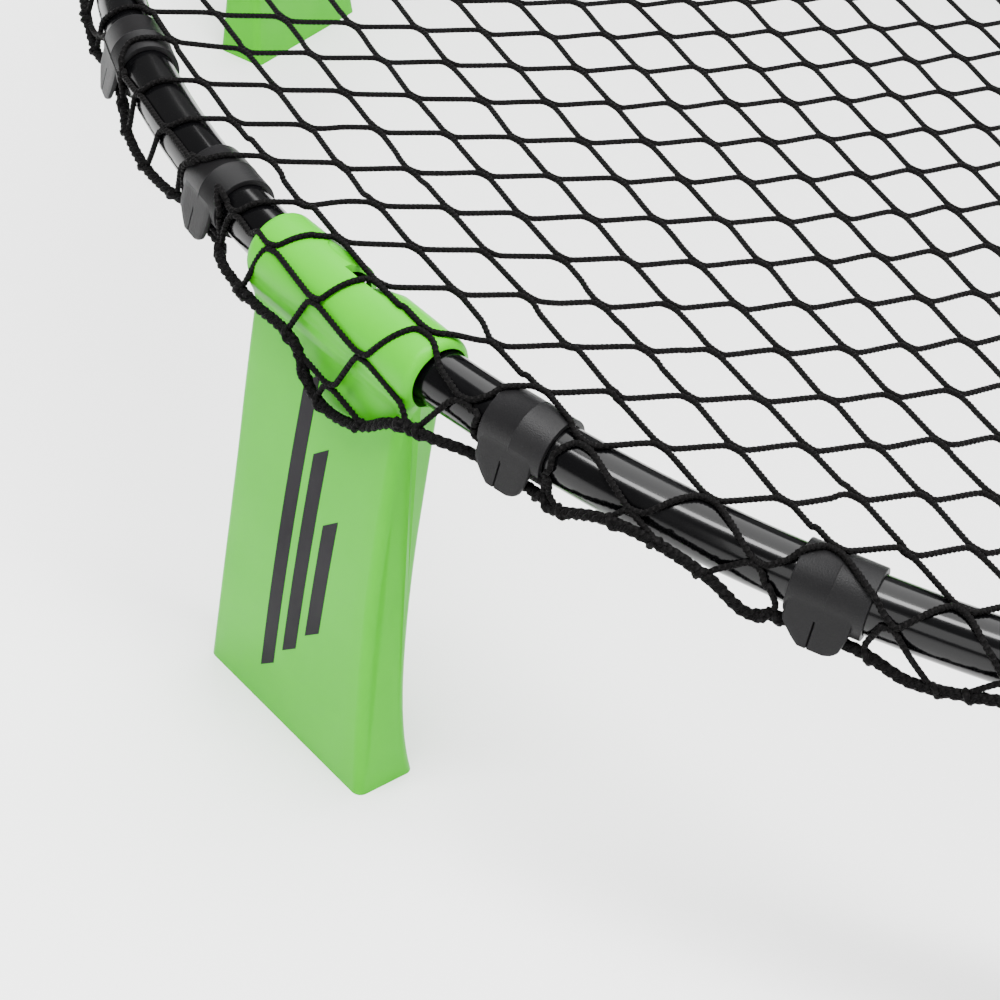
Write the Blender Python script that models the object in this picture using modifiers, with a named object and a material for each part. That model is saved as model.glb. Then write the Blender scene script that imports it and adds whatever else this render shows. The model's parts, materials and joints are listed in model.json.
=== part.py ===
"""Roundnet set: a five-section steel ring on five folding legs, with a net held by hooks on the ring.

Units are metres and +Z is up. The origin is on the ground, under the centre of the ring. Section 1
and its leg are at -Y, and the others follow counter-clockwise, seen from above.
"""

from math import atan2, cos, exp, hypot, pi, radians, sin, sqrt

import bmesh
import bpy
from mathutils import Euler, Matrix, Vector

# Ring
RING_RADIUS = 0.450
RIM_HEIGHT = 0.1785
SECTION_COUNT = 5
TUBE_RADIUS = 0.0095
TUBE_WALL = 0.0012
LONGEST_STEP = radians(4.5)
TUBE_SIDES = 12

# Joint between two sections: a swaged end that slides into the next tube
SPIGOT_LENGTH = 0.030
SPIGOT_STEP = 0.0003
SPIGOT_CLEARANCE = 0.0004
SECTION_GAP = 0.0008

# Net hooks: a band round the tube with a tongue that points down on its outer side
# Their places are distances along the ring from the middle of a section's leg.
HOOK_PLACES = (-0.1700, -0.0770, 0.0792, 0.1840)
HOOK_LENGTH = 0.024
HOOK_CLEARANCE = 0.0003
HOOK_WALL = 0.0013
TONGUE_WALL = 0.0017
TONGUE_DROP = 0.0138
TONGUE_FLARE = 0.0023
TONGUE_ROOT_WIDTH = 0.021
TONGUE_TIP_WIDTH = 0.014

# Leg: a hollow moulding that hangs from its collar, open under the foot
FOOT_WIDTH = 0.090
WAIST_WIDTH = 0.0786
FOOT_FLARE_HEIGHT = 0.110
FACE_SETBACK = 0.0082
FACE_BOW = 0.0026
INNER_WAIST = 0.0070
INNER_FLARE = 0.0107
INNER_FLARE_HEIGHT = 0.034
LEG_WALL = 0.0026
LEG_EDGE_RADIUS = 0.0025
CAVITY_ROOF = 0.017
PROFILE_STEPS = 7

# Collar of the leg, which turns on the tube
COLLAR_LENGTH = 0.085
COLLAR_WALL = 0.0025
COLLAR_EDGE_RADIUS = 0.0018
COLLAR_CLEARANCE = 0.0004
COLLAR_SIDES = 24
FOLD_ANGLE = radians(85)

# Stop button in the tube, which keeps the leg in place and ends its fold
STOP_ANGLE = radians(9.5)
STOP_HEAD_RADIUS = 0.0016
STOP_HEAD_HEIGHT = 0.0022
STOP_SHANK_RADIUS = 0.0011
STOP_SHANK_LENGTH = 0.0030
STOP_FIT = 0.0003
WINDOW_WIDTH = 0.010
WINDOW_PLAY = radians(1.5)

# Net and the rope along its edge
NET_THICKNESS = 0.0016
NET_CLEARANCE = 0.0005
ROPE_RADIUS = 0.0022
ROPE_CLEARANCE = 0.0004
# The rope over a leg: distance along the ring, distance outside the collar, height above the ring
ROPE_OVER_LEG = (
    (-0.054, 0.0015, -0.0105),
    (-0.043, 0.0025, -0.0115),
    (-0.030, 0.0027, -0.0120),
    (-0.017, 0.0027, -0.0112),
    (-0.009, 0.0025, -0.0130),
    (-0.005, 0.0017, -0.0190),
    (0.000, 0.0013, -0.0258),
    (0.008, 0.0013, -0.0285),
    (0.018, 0.0013, -0.0272),
    (0.027, 0.0015, -0.0228),
    (0.035, 0.0021, -0.0160),
    (0.044, 0.0025, -0.0112),
    (0.053, 0.0019, -0.0100),
)
# The rope beside the tube between two hooks: share of the way, gap to the tube, and angle below the level
ROPE_BEFORE_LEG = ((0.50, 0.0027, radians(43)),)
ROPE_PAST_LEG = (
    (0.18, 0.0039, radians(47)),
    (0.34, 0.0019, radians(13)),
    (0.50, 0.0018, radians(6)),
    (0.68, 0.0022, radians(21)),
    (0.80, 0.0049, radians(49)),
)
ROPE_TO_NEXT_SECTION = ((0.33, 0.0027, radians(43)), (0.67, 0.0027, radians(43)))

GREEN = ((0.18, 0.62, 0.02, 1.0), 0.38, 0.0)
GLOSS_BLACK = ((0.010, 0.010, 0.012, 1.0), 0.16, 0.0)
MATT_BLACK = ((0.022, 0.022, 0.024, 1.0), 0.45, 0.0)
STEEL = ((0.55, 0.55, 0.56, 1.0), 0.35, 1.0)
CORD_BLACK = ((0.012, 0.012, 0.013, 1.0), 0.85, 0.0)

SECTION_ANGLE = 2 * pi / SECTION_COUNT
# A round hole is cut as a polygon, whose flats stand nearer its axis than its corners.
BAND_INNER = (TUBE_RADIUS + HOOK_CLEARANCE) / cos(pi / TUBE_SIDES)
BAND_OUTER = BAND_INNER + HOOK_WALL
# The tube bends inside the collar, so the bore sits half of that bend inwards of it.
COLLAR_BEND = RING_RADIUS - sqrt(RING_RADIUS**2 - (COLLAR_LENGTH / 2) ** 2)
BORE_INSET = COLLAR_BEND / 2
BORE_RADIUS = (TUBE_RADIUS + BORE_INSET + COLLAR_CLEARANCE) / cos(pi / COLLAR_SIDES)
COLLAR_RADIUS = BORE_RADIUS + COLLAR_WALL
COLLAR_REACH = COLLAR_RADIUS - BORE_INSET
CAVITY_HEIGHT = RIM_HEIGHT - COLLAR_RADIUS - CAVITY_ROOF
HOOK_ANGLES = tuple(place / RING_RADIUS for place in HOOK_PLACES)
NET_HEIGHT = RIM_HEIGHT + COLLAR_RADIUS + NET_CLEARANCE
NET_RADIUS = RING_RADIUS + TUBE_RADIUS


def clear_scene():
    """Removes every object, so that the model starts from an empty scene."""
    for obj in list(bpy.data.objects):
        bpy.data.objects.remove(obj, do_unlink=True)


def new_collection(name):
    """Makes a collection under the scene's own."""
    collection = bpy.data.collections.new(name)
    bpy.context.scene.collection.children.link(collection)
    return collection


def new_material(name, finish):
    """Makes a Principled material of a finish: its colour, roughness and metallic value."""
    colour, roughness, metallic = finish
    material = bpy.data.materials.new(name)
    material.use_nodes = True
    shader = material.node_tree.nodes["Principled BSDF"]
    shader.inputs["Base Color"].default_value = colour
    shader.inputs["Roughness"].default_value = roughness
    shader.inputs["Metallic"].default_value = metallic
    material.diffuse_color = colour
    return material


def ring_place(angle, along=0.0):
    """The frame of the ring at an angle, on the tube's centre line: X along the ring, Y inwards, Z up."""
    turn = Matrix.Rotation(angle, 4, "Z")
    return turn @ Matrix.Translation((along, -RING_RADIUS, RIM_HEIGHT))


def add_object(name, data, collection, finish=None):
    """Puts new data in the scene as a named object, with a material of its own."""
    obj = bpy.data.objects.new(name, data)
    collection.objects.link(obj)
    if finish:
        obj.data.materials.append(new_material(name, finish))
    return obj


def round_shading(mesh):
    """Shades round surfaces smooth and keeps edges over 35 degrees sharp."""
    mesh.shade_smooth()
    mesh.set_sharp_from_angle(angle=radians(35))


def baked(obj, name):
    """The object's mesh with its modifiers applied and its loose caps closed; the object itself goes."""
    bpy.context.view_layer.update()
    graph = bpy.context.evaluated_depsgraph_get()
    mesh = bpy.data.meshes.new_from_object(obj.evaluated_get(graph))
    mesh.name = name
    work = bmesh.new()
    work.from_mesh(mesh)
    bmesh.ops.remove_doubles(work, verts=work.verts, dist=1e-6)
    bmesh.ops.recalc_face_normals(work, faces=work.faces)
    work.to_mesh(mesh)
    work.free()
    bpy.data.objects.remove(obj, do_unlink=True)
    return mesh


def helper(name, mesh, cutters):
    """Links a mesh as a cutter, which the model leaves out."""
    obj = bpy.data.objects.new(name, mesh)
    obj.hide_render = True
    obj.display_type = "WIRE"
    cutters.objects.link(obj)
    return obj


def boolean(obj, tool, operation):
    """Adds a Boolean modifier with a cutter or a shape to join."""
    modifier = obj.modifiers.new(tool.name, "BOOLEAN")
    modifier.object = tool
    modifier.operation = operation
    modifier.solver = "EXACT"


def rod(name, radius, length, sides, matrix):
    """A closed cylinder about X, moved by a matrix."""
    work = bmesh.new()
    lie_down = Matrix.Rotation(pi / 2, 4, "Y")
    bmesh.ops.create_cone(
        work,
        cap_ends=True,
        segments=sides,
        radius1=radius,
        radius2=radius,
        depth=length,
        matrix=matrix @ lie_down,
    )
    mesh = bpy.data.meshes.new(name)
    work.to_mesh(mesh)
    work.free()
    return mesh


def slab(name, outline, place):
    """A filled outline made thick: place turns (across, up, side) into a point, side being -1 or 1."""
    curve = bpy.data.curves.new(name, "CURVE")
    curve.dimensions = "2D"
    curve.fill_mode = "BOTH"
    curve.extrude = 1.0
    spline = curve.splines.new("POLY")
    spline.points.add(len(outline) - 1)
    for point, (across, up) in zip(spline.points, outline):
        point.co = (across, up, 0.0, 1.0)
    spline.use_cyclic_u = True
    flat = bpy.data.objects.new(name, curve)
    bpy.context.scene.collection.objects.link(flat)
    mesh = baked(flat, name)
    bpy.data.curves.remove(curve)
    for vertex in mesh.vertices:
        vertex.co = place(*vertex.co)
    work = bmesh.new()
    work.from_mesh(mesh)
    bmesh.ops.recalc_face_normals(work, faces=work.faces)
    work.to_mesh(mesh)
    work.free()
    return mesh


# Ring sections


def section_angles():
    """Angles along a section from its middle, with a step at each end of a hook, the collar, the socket."""
    hook_half = HOOK_LENGTH / 2 / RING_RADIUS
    collar_half = COLLAR_LENGTH / 2 / RING_RADIUS
    start = -SECTION_ANGLE / 2
    stops = [start, start + SPIGOT_LENGTH / RING_RADIUS, -collar_half, collar_half]
    stops.append(-start - SECTION_GAP / RING_RADIUS)
    for angle in HOOK_ANGLES:
        stops += [angle - hook_half, angle + hook_half]
    stops.sort()
    angles = [stops[0]]
    for start, end in zip(stops, stops[1:]):
        steps = max(1, round((end - start) / LONGEST_STEP))
        angles += [start + (end - start) * step / steps for step in range(1, steps + 1)]
    return angles


def tube_curve(name, stations, sides, closed=False):
    """A round tube's curve through stations of (point, radius)."""
    curve = bpy.data.curves.new(name, "CURVE")
    curve.dimensions = "3D"
    curve.bevel_mode = "ROUND"
    curve.bevel_depth = 1.0
    curve.bevel_resolution = sides // 2 - 2
    curve.twist_mode = "Z_UP"
    spline = curve.splines.new("POLY")
    spline.points.add(len(stations) - 1)
    for point, (position, radius) in zip(spline.points, stations):
        point.co = (*position, 1.0)
        point.radius = radius
    spline.use_cyclic_u = closed
    return curve


def section_mesh():
    """One ring section: an open-ended tube, with a swaged spigot that follows the next tube's bends."""
    spigot_radius = TUBE_RADIUS - TUBE_WALL - SPIGOT_CLEARANCE
    angles = section_angles()
    socket_end = angles[0] + (SPIGOT_LENGTH + SECTION_GAP) / RING_RADIUS
    stations = [(angle, TUBE_RADIUS) for angle in angles]
    stations.append((angles[-1] + SPIGOT_STEP / RING_RADIUS, spigot_radius))
    stations += [(angle + SECTION_ANGLE, spigot_radius) for angle in angles if angle < socket_end]
    points = [(ring_place(angle).translation, radius) for angle, radius in stations]
    curve = tube_curve("rim_section", points, TUBE_SIDES)
    skin = bpy.data.objects.new("rim_section_skin", curve)
    bpy.context.scene.collection.objects.link(skin)
    mesh = baked(skin, "rim_section")
    bpy.data.curves.remove(curve)
    return mesh


def stop_matrix():
    """The stop's place on its section: X out of the tube, at the middle of the section."""
    lean = Matrix.Rotation(-STOP_ANGLE, 4, "X")
    return ring_place(0.0) @ lean @ Matrix.Rotation(-pi / 2, 4, "Y")


def build_sections(parts, cutters):
    """The ring's sections, each a wall of even thickness with a stop hole."""
    mesh = section_mesh()
    hole_centre = stop_matrix() @ Matrix.Translation((TUBE_RADIUS, 0, 0))
    hole = rod("stop_hole", STOP_SHANK_RADIUS + STOP_FIT, TUBE_RADIUS, 12, hole_centre)
    for number in range(1, SECTION_COUNT + 1):
        section = add_object(f"rim_section_{number}", mesh.copy(), parts, GLOSS_BLACK)
        section.rotation_euler = Euler((0, 0, (number - 1) * SECTION_ANGLE))
        wall = section.modifiers.new("wall", "SOLIDIFY")
        wall.thickness = TUBE_WALL
        wall.offset = -1.0
        cutter = helper(f"stop_hole_{number}", hole, cutters)
        cutter.rotation_euler = section.rotation_euler
        boolean(section, cutter, "DIFFERENCE")
        round_shading(section.data)


def build_stops(parts, cutters):
    """A stop button for each leg: a head outside the tube on a shank through its wall."""
    place = stop_matrix()
    head_base = TUBE_RADIUS + STOP_FIT
    profile = (
        (0.0, head_base + STOP_HEAD_HEIGHT),
        (STOP_HEAD_RADIUS * 0.75, head_base + STOP_HEAD_HEIGHT),
        (STOP_HEAD_RADIUS, head_base + STOP_HEAD_HEIGHT * 0.75),
        (STOP_HEAD_RADIUS, head_base),
        (STOP_SHANK_RADIUS, head_base),
        (STOP_SHANK_RADIUS, head_base - STOP_SHANK_LENGTH),
        (0.0, head_base - STOP_SHANK_LENGTH),
    )
    for number in range(1, SECTION_COUNT + 1):
        mesh = bpy.data.meshes.new(f"leg_stop_{number}")
        mesh.from_pydata([(x, 0.0, z) for x, z in profile], [(i, i + 1) for i in range(len(profile) - 1)], [])
        stop = add_object(f"leg_stop_{number}", mesh, parts, STEEL)
        stop.matrix_world = (
            Matrix.Rotation((number - 1) * SECTION_ANGLE, 4, "Z") @ place @ Matrix.Rotation(pi / 2, 4, "Y")
        )
        turned = stop.modifiers.new("turned", "SCREW")
        turned.steps = 12
        turned.render_steps = 12
        turned.use_merge_vertices = True
        turned.merge_threshold = 1e-5
        turned.use_smooth_shade = False


# Hooks


def tongue_outline():
    """The tongue's side view, outwards and up from the tube's centre."""
    root_height = 0.0015
    tip_out = BAND_OUTER + TONGUE_FLARE
    tip_round = TONGUE_WALL * 0.35
    return (
        (BAND_OUTER, root_height),
        (BAND_OUTER - TONGUE_WALL * 0.55, root_height),
        (BAND_OUTER - TONGUE_WALL * 0.75, -TONGUE_DROP * 0.2),
        (tip_out - TONGUE_WALL + tip_round, -TONGUE_DROP),
        (tip_out - tip_round, -TONGUE_DROP),
        (tip_out, -TONGUE_DROP + tip_round),
    )


def tongue_mesh():
    """The tongue, which narrows towards its tip."""

    def place(out, up, side):
        share = min(1.0, max(0.0, -up / TONGUE_DROP))
        width = TONGUE_ROOT_WIDTH + (TONGUE_TIP_WIDTH - TONGUE_ROOT_WIDTH) * share**2
        return Vector((side * width / 2, -out, up))

    return slab("hook_tongue", tongue_outline(), place)


def hook_matrix(angle):
    """The hook's place: on the middle of the straight tube run between its two ends."""
    half = HOOK_LENGTH / 2 / RING_RADIUS
    sag = RING_RADIUS * (1 - cos(half))
    return ring_place(angle) @ Matrix.Translation((0, sag, 0))


def build_hooks(parts, cutters):
    """The net hooks, in order along the ring."""
    band = rod("hook_band", BAND_OUTER, HOOK_LENGTH, TUBE_SIDES, Matrix.Identity(4))
    bore = rod("hook_bore", BAND_INNER, 2 * HOOK_LENGTH, TUBE_SIDES, Matrix.Identity(4))
    tongue = tongue_mesh()
    number = 0
    for section in range(SECTION_COUNT):
        for angle in HOOK_ANGLES:
            number += 1
            place = hook_matrix(section * SECTION_ANGLE + angle)
            hook = add_object(f"net_hook_{number:02d}", band.copy(), parts, MATT_BLACK)
            hook.matrix_world = place
            for tool_name, mesh, operation in (("tongue", tongue, "UNION"), ("bore", bore, "DIFFERENCE")):
                tool = helper(f"hook_{tool_name}_{number:02d}", mesh, cutters)
                tool.matrix_world = place
                boolean(hook, tool, operation)
            round_shading(hook.data)


# Legs


def leg_half_width(height):
    """Half of the leg's width at a height above the ground."""
    share = max(0.0, 1 - max(0.0, height) / FOOT_FLARE_HEIGHT)
    return (WAIST_WIDTH + (FOOT_WIDTH - WAIST_WIDTH) * share**1.6) / 2


def leg_outer(height):
    """How far the outer face stands outwards of the ring's centre line, bowed a little at mid height."""
    middle = RIM_HEIGHT * 0.56
    return FACE_SETBACK + FACE_BOW * (1 - ((height - middle) / middle) ** 2)


def leg_inner(height):
    """How far the inner face stands inwards of the ring's centre line, flared at the foot."""
    return INNER_WAIST + INNER_FLARE * exp(-max(0.0, height) / INNER_FLARE_HEIGHT)


def leg_heights(low, high):
    """Heights for a leg's outline, closer together at the foot."""
    return [low + (high - low) * (step / PROFILE_STEPS) ** 1.5 for step in range(PROFILE_STEPS + 1)]


def leg_outline(low, high, inset):
    """The leg's side view inwards of the ring's centre line and above the ground, inset by a wall."""
    heights = leg_heights(low, high)
    outer = [(-leg_outer(height) + inset, height) for height in heights]
    inner = [(leg_inner(height) - inset, height) for height in reversed(heights)]
    return outer + inner


def leg_place(low_side, high_side):
    """A placing function for a slab between two sides, which are functions of the height."""

    def place(inwards, height, side):
        share = (side + 1) / 2
        across = low_side(height) * (1 - share) + high_side(height) * share
        return Vector((across, inwards, height - RIM_HEIGHT))

    return place


def leg_blank_mesh():
    """The leg's body below the collar, with its edges rounded."""
    place = leg_place(lambda height: -leg_half_width(height), leg_half_width)
    mesh = slab("leg_body", leg_outline(0.0, RIM_HEIGHT, 0.0), place)
    work = bmesh.new()
    work.from_mesh(mesh)
    upright = [edge for edge in work.edges if edge.calc_face_angle(0.0) > radians(50) and is_upright(edge)]
    bmesh.ops.bevel(work, geom=upright, offset=LEG_EDGE_RADIUS, segments=1, profile=0.5, affect="EDGES")
    work.to_mesh(mesh)
    work.free()
    return mesh


def is_upright(edge):
    """Whether an edge runs more up than along."""
    run = edge.verts[1].co - edge.verts[0].co
    return abs(run.z) > hypot(run.x, run.y)


def cavity_meshes():
    """The two pockets of the hollow leg, either side of its middle rib."""
    below = -0.004
    rib = LEG_WALL / 2
    outline = leg_outline(below, CAVITY_HEIGHT, LEG_WALL)

    def far_side(height):
        return leg_half_width(height) - LEG_WALL

    right = slab("pocket_right", outline, leg_place(lambda height: rib, far_side))
    left = slab("pocket_left", outline, leg_place(lambda height: -far_side(height), lambda height: -rib))
    return left, right


def collar_mesh():
    """The collar's outside, with rounded ends, about the leg's hinge axis."""
    collar = bpy.data.objects.new(
        "collar", rod("collar", COLLAR_RADIUS, COLLAR_LENGTH, COLLAR_SIDES, Matrix.Identity(4))
    )
    bpy.context.scene.collection.objects.link(collar)
    rounded = collar.modifiers.new("rounded", "BEVEL")
    rounded.width = COLLAR_EDGE_RADIUS
    rounded.segments = 2
    rounded.limit_method = "ANGLE"
    rounded.angle_limit = radians(60)
    return baked(collar, "collar")


def window_mesh():
    """The cutter for the window that the stop stands in, wide enough round the collar for the whole fold."""
    head_middle = TUBE_RADIUS + STOP_FIT + STOP_HEAD_HEIGHT / 2
    across = head_middle * sin(STOP_ANGLE) - BORE_INSET
    up = head_middle * cos(STOP_ANGLE)
    centre = atan2(across, up)
    half = STOP_HEAD_RADIUS / hypot(across, up) + WINDOW_PLAY
    start = centre - half
    end = centre + half + FOLD_ANGLE
    steps = 6
    angles = [start + (end - start) * step / steps for step in range(steps + 1)]
    inside = BORE_RADIUS * 0.7
    outside = COLLAR_RADIUS * 1.3
    outline = [(outside * sin(a), outside * cos(a)) for a in angles]
    outline += [(inside * sin(a), inside * cos(a)) for a in reversed(angles)]
    return slab("window", outline, lambda inwards, up, side: Vector((side * WINDOW_WIDTH / 2, inwards, up)))


def build_legs(parts, cutters):
    """The folding legs, each with its origin on its hinge axis."""
    shift = Matrix.Translation((0, -BORE_INSET, 0))
    body = leg_blank_mesh()
    bore = rod("collar_bore", BORE_RADIUS, 2 * COLLAR_LENGTH, COLLAR_SIDES, Matrix.Identity(4))
    tools = [
        ("collar", collar_mesh(), "UNION"),
        ("bore", bore, "DIFFERENCE"),
        ("window", window_mesh(), "DIFFERENCE"),
    ]
    for pocket in cavity_meshes():
        pocket.transform(shift)
        tools.append((pocket.name, pocket, "DIFFERENCE"))
    body.transform(shift)
    for number in range(1, SECTION_COUNT + 1):
        place = ring_place((number - 1) * SECTION_ANGLE) @ Matrix.Translation((0, BORE_INSET, 0))
        leg = add_object(f"leg_{number}", body.copy(), parts, GREEN)
        leg.matrix_world = place
        for tool_name, mesh, operation in tools:
            tool = helper(f"leg_{tool_name}_{number}", mesh, cutters)
            tool.matrix_world = place
            boolean(leg, tool, operation)
        round_shading(leg.data)


# Net


def build_net(parts):
    """The net's own space: a thin flat disc over the ring."""
    work = bmesh.new()
    bmesh.ops.create_cone(
        work,
        cap_ends=True,
        segments=60,
        radius1=NET_RADIUS,
        radius2=NET_RADIUS,
        depth=NET_THICKNESS,
        matrix=Matrix.Translation((0, 0, NET_HEIGHT + NET_THICKNESS / 2)),
    )
    mesh = bpy.data.meshes.new("net")
    work.to_mesh(mesh)
    work.free()
    add_object("net", mesh, parts, CORD_BLACK)


def rope_seat():
    """Where the rope lies behind a tongue: outwards and up from the tube's centre."""
    reach = BAND_OUTER + ROPE_CLEARANCE + ROPE_RADIUS
    slope = TONGUE_FLARE / TONGUE_DROP
    height = -reach * 0.77
    out = BAND_OUTER - slope * height - TONGUE_WALL - ROPE_CLEARANCE - ROPE_RADIUS
    return out, -sqrt(reach**2 - out**2)


def rope_points():
    """The rope's route round the ring: behind each tongue, beside the tube, and over each leg."""
    out, up = rope_seat()
    half = HOOK_LENGTH / 2 + 0.001
    following = (*HOOK_ANGLES[1:], HOOK_ANGLES[0] + SECTION_ANGLE)
    besides = (ROPE_BEFORE_LEG, (), ROPE_PAST_LEG, ROPE_TO_NEXT_SECTION)
    points = []
    for section in range(SECTION_COUNT):
        turn = section * SECTION_ANGLE
        for hook, next_hook, beside in zip(HOOK_ANGLES, following, besides):
            points += [hook_matrix(turn + hook) @ Vector((end, -out, up)) for end in (-half, half)]
            for share, gap, down in beside:
                reach = TUBE_RADIUS + ROPE_RADIUS + gap
                offset = Vector((0, -reach * cos(down), -reach * sin(down)))
                points.append(ring_place(turn + hook + (next_hook - hook) * share) @ offset)
            if not beside:
                points += [
                    ring_place(turn, along) @ Vector((0, -COLLAR_REACH - outside, height))
                    for along, outside, height in ROPE_OVER_LEG
                ]
    return points


def build_rope(parts):
    """The rope along the net's edge, a closed loop."""
    curve = tube_curve("edge_rope", [(point, ROPE_RADIUS) for point in rope_points()], 8, closed=True)
    add_object("edge_rope", curve, parts, CORD_BLACK)


def main():
    clear_scene()
    parts = new_collection("roundnet_set")
    cutters = new_collection("cutters")
    build_sections(parts, cutters)
    build_stops(parts, cutters)
    build_hooks(parts, cutters)
    build_legs(parts, cutters)
    build_net(parts)
    build_rope(parts)


main()
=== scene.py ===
"""Roundnet set: how the ring, the folding legs, the net and the edge rope look.

Lengths are in metres and +Z is up. The ring's centre is over the origin, the first leg stands at -Y,
and the sections follow counter-clockwise, seen from above. Along, out and up are a place on the ring:
the way along it from the middle of a section's leg, the way outwards from its centre line, and the
height above that line.
"""

import json
import logging
from dataclasses import dataclass, field
from enum import Enum
from math import atan2, ceil, cos, pi, radians, sin, sqrt
from typing import Any, Iterable, Sequence

import bmesh
import bpy
import numpy as np
from mathutils import Matrix, Vector

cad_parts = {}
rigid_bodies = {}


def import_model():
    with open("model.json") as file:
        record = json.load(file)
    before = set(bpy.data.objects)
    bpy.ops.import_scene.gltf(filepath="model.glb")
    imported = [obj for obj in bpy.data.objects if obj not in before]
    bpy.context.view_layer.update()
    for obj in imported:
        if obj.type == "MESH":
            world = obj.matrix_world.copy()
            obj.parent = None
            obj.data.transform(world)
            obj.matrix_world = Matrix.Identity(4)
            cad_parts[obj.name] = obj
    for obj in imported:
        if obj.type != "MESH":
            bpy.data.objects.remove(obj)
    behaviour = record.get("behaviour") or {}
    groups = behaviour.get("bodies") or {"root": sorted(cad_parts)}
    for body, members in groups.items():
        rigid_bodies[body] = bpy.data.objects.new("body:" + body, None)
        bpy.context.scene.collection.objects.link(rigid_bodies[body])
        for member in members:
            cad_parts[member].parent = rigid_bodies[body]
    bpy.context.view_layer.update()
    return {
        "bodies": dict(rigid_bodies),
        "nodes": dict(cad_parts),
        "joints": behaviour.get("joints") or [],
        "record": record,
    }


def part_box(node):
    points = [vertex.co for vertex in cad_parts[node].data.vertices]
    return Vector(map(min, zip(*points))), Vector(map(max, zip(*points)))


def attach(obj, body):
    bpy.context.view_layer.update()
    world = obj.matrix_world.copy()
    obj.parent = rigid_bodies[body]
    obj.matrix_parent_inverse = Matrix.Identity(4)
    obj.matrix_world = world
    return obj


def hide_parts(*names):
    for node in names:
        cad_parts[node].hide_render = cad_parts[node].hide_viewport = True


LOG = logging.getLogger("roundnet_set")
RING_BODY = "ring"

Array = np.ndarray
Colour = tuple[float, float, float]
Place = tuple[float, float, float]


class Lay(Enum):
    """How the yarns of a cord are laid."""

    KNITTED = "knitted"
    TWISTED = "twisted"


class Mould(Enum):
    """How a moulding's skin is textured."""

    SATIN = "satin"
    MATT = "matt"


# Shapes


def smooth_step(low: float, high: float, value: Array) -> Array:
    """A share that eases from 0 at low to 1 at high.

    Args:
        low: The value where the share starts.
        high: The value where it is whole.
        value: One value or many.

    Returns:
        The share of each value.
    """
    share = np.clip((np.asarray(value, float) - low) / (high - low), 0.0, 1.0)
    return share * share * (3 - 2 * share)


def soft_max(first: Array, second: Array, reach: float) -> Array:
    """The larger of two profiles, with a fillet where they cross.

    Args:
        first: One profile.
        second: The other.
        reach: How near the two have to be for the fillet to start.

    Returns:
        The joined profile.
    """
    near = np.maximum(reach - np.abs(first - second), 0.0) / reach
    return np.maximum(first, second) + near * near * reach / 4


def smooth_path(points: Array, step: float, closed: bool = False) -> Array:
    """Points at an even step on a smooth curve through a few points.

    Args:
        points: The points that the curve passes through.
        step: About how far apart the new points are.
        closed: Whether the curve joins up with its start.

    Returns:
        The new points.
    """
    if closed:
        points = np.concatenate([points[-1:], points, points[:2]])
    length = np.maximum(np.linalg.norm(np.diff(points, axis=0), axis=1), 1e-9)[:, None]
    slope = np.diff(points, axis=0) / length
    inner = (slope[:-1] * length[:-1] + slope[1:] * length[1:]) / (length[1:] + length[:-1])
    tangent = np.concatenate([slope[:1], inner, slope[-1:]])
    spans = range(1, len(points) - 2) if closed else range(len(points) - 1)
    pieces = []
    for span in spans:
        count = max(1, ceil(float(length[span, 0]) / step))
        share = (np.arange(count) / count)[:, None]
        square, cube = share**2, share**3
        pieces.append(
            points[span] * (2 * cube - 3 * square + 1)
            + points[span + 1] * (3 * square - 2 * cube)
            + tangent[span] * length[span] * (cube - 2 * square + share)
            + tangent[span + 1] * length[span] * (cube - square)
        )
    if not closed:
        pieces.append(points[-1:])
    return np.concatenate(pieces)


def grid_mesh(name: str, grid: Array, closed_rows: bool = False, caps: bool = True) -> bpy.types.Mesh:
    """A skin over rows of points, each row a closed loop.

    Args:
        name: The mesh's name.
        grid: Rows of points, of shape (rows, points, 3).
        closed_rows: Whether the last row joins the first.
        caps: Whether the first and the last row are filled, each with one face.

    Returns:
        The mesh, with its faces outwards.
    """
    rows, columns = grid.shape[:2]
    row = np.arange(rows if closed_rows else rows - 1)[:, None]
    column = np.arange(columns)[None, :]
    following_row = (row + 1) % rows
    following = (column + 1) % columns
    corners = (
        row * columns + column,
        row * columns + following,
        following_row * columns + following,
        following_row * columns + column,
    )
    faces = np.stack(np.broadcast_arrays(*corners), axis=-1).reshape(-1, 4).tolist()
    if caps and not closed_rows:
        faces.append(list(range(columns)))
        faces.append(list(range((rows - 1) * columns, rows * columns)))
    mesh = bpy.data.meshes.new(name)
    mesh.from_pydata(grid.reshape(-1, 3).tolist(), [], faces)
    return tidied(mesh)


def tidied(mesh: bpy.types.Mesh, sharp: float = radians(32)) -> bpy.types.Mesh:
    """Merges doubles, turns faces outwards and shades round stretches smooth.

    Args:
        mesh: The mesh, which is changed.
        sharp: The angle from which an edge stays sharp.

    Returns:
        The same mesh.
    """
    work = bmesh.new()
    work.from_mesh(mesh)
    bmesh.ops.remove_doubles(work, verts=work.verts, dist=1e-6)
    bmesh.ops.dissolve_degenerate(work, edges=work.edges, dist=1e-7)
    bmesh.ops.recalc_face_normals(work, faces=work.faces)
    work.to_mesh(mesh)
    work.free()
    mesh.shade_smooth()
    mesh.set_sharp_from_angle(angle=sharp)
    return mesh


def joined(name: str, meshes: Iterable[bpy.types.Mesh]) -> bpy.types.Mesh:
    """Several meshes as one, each still closed by itself.

    Args:
        name: The new mesh's name.
        meshes: The meshes, which are removed.

    Returns:
        The new mesh.
    """
    work = bmesh.new()
    for mesh in meshes:
        work.from_mesh(mesh)
        bpy.data.meshes.remove(mesh)
    result = bpy.data.meshes.new(name)
    work.to_mesh(result)
    work.free()
    return result


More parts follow.
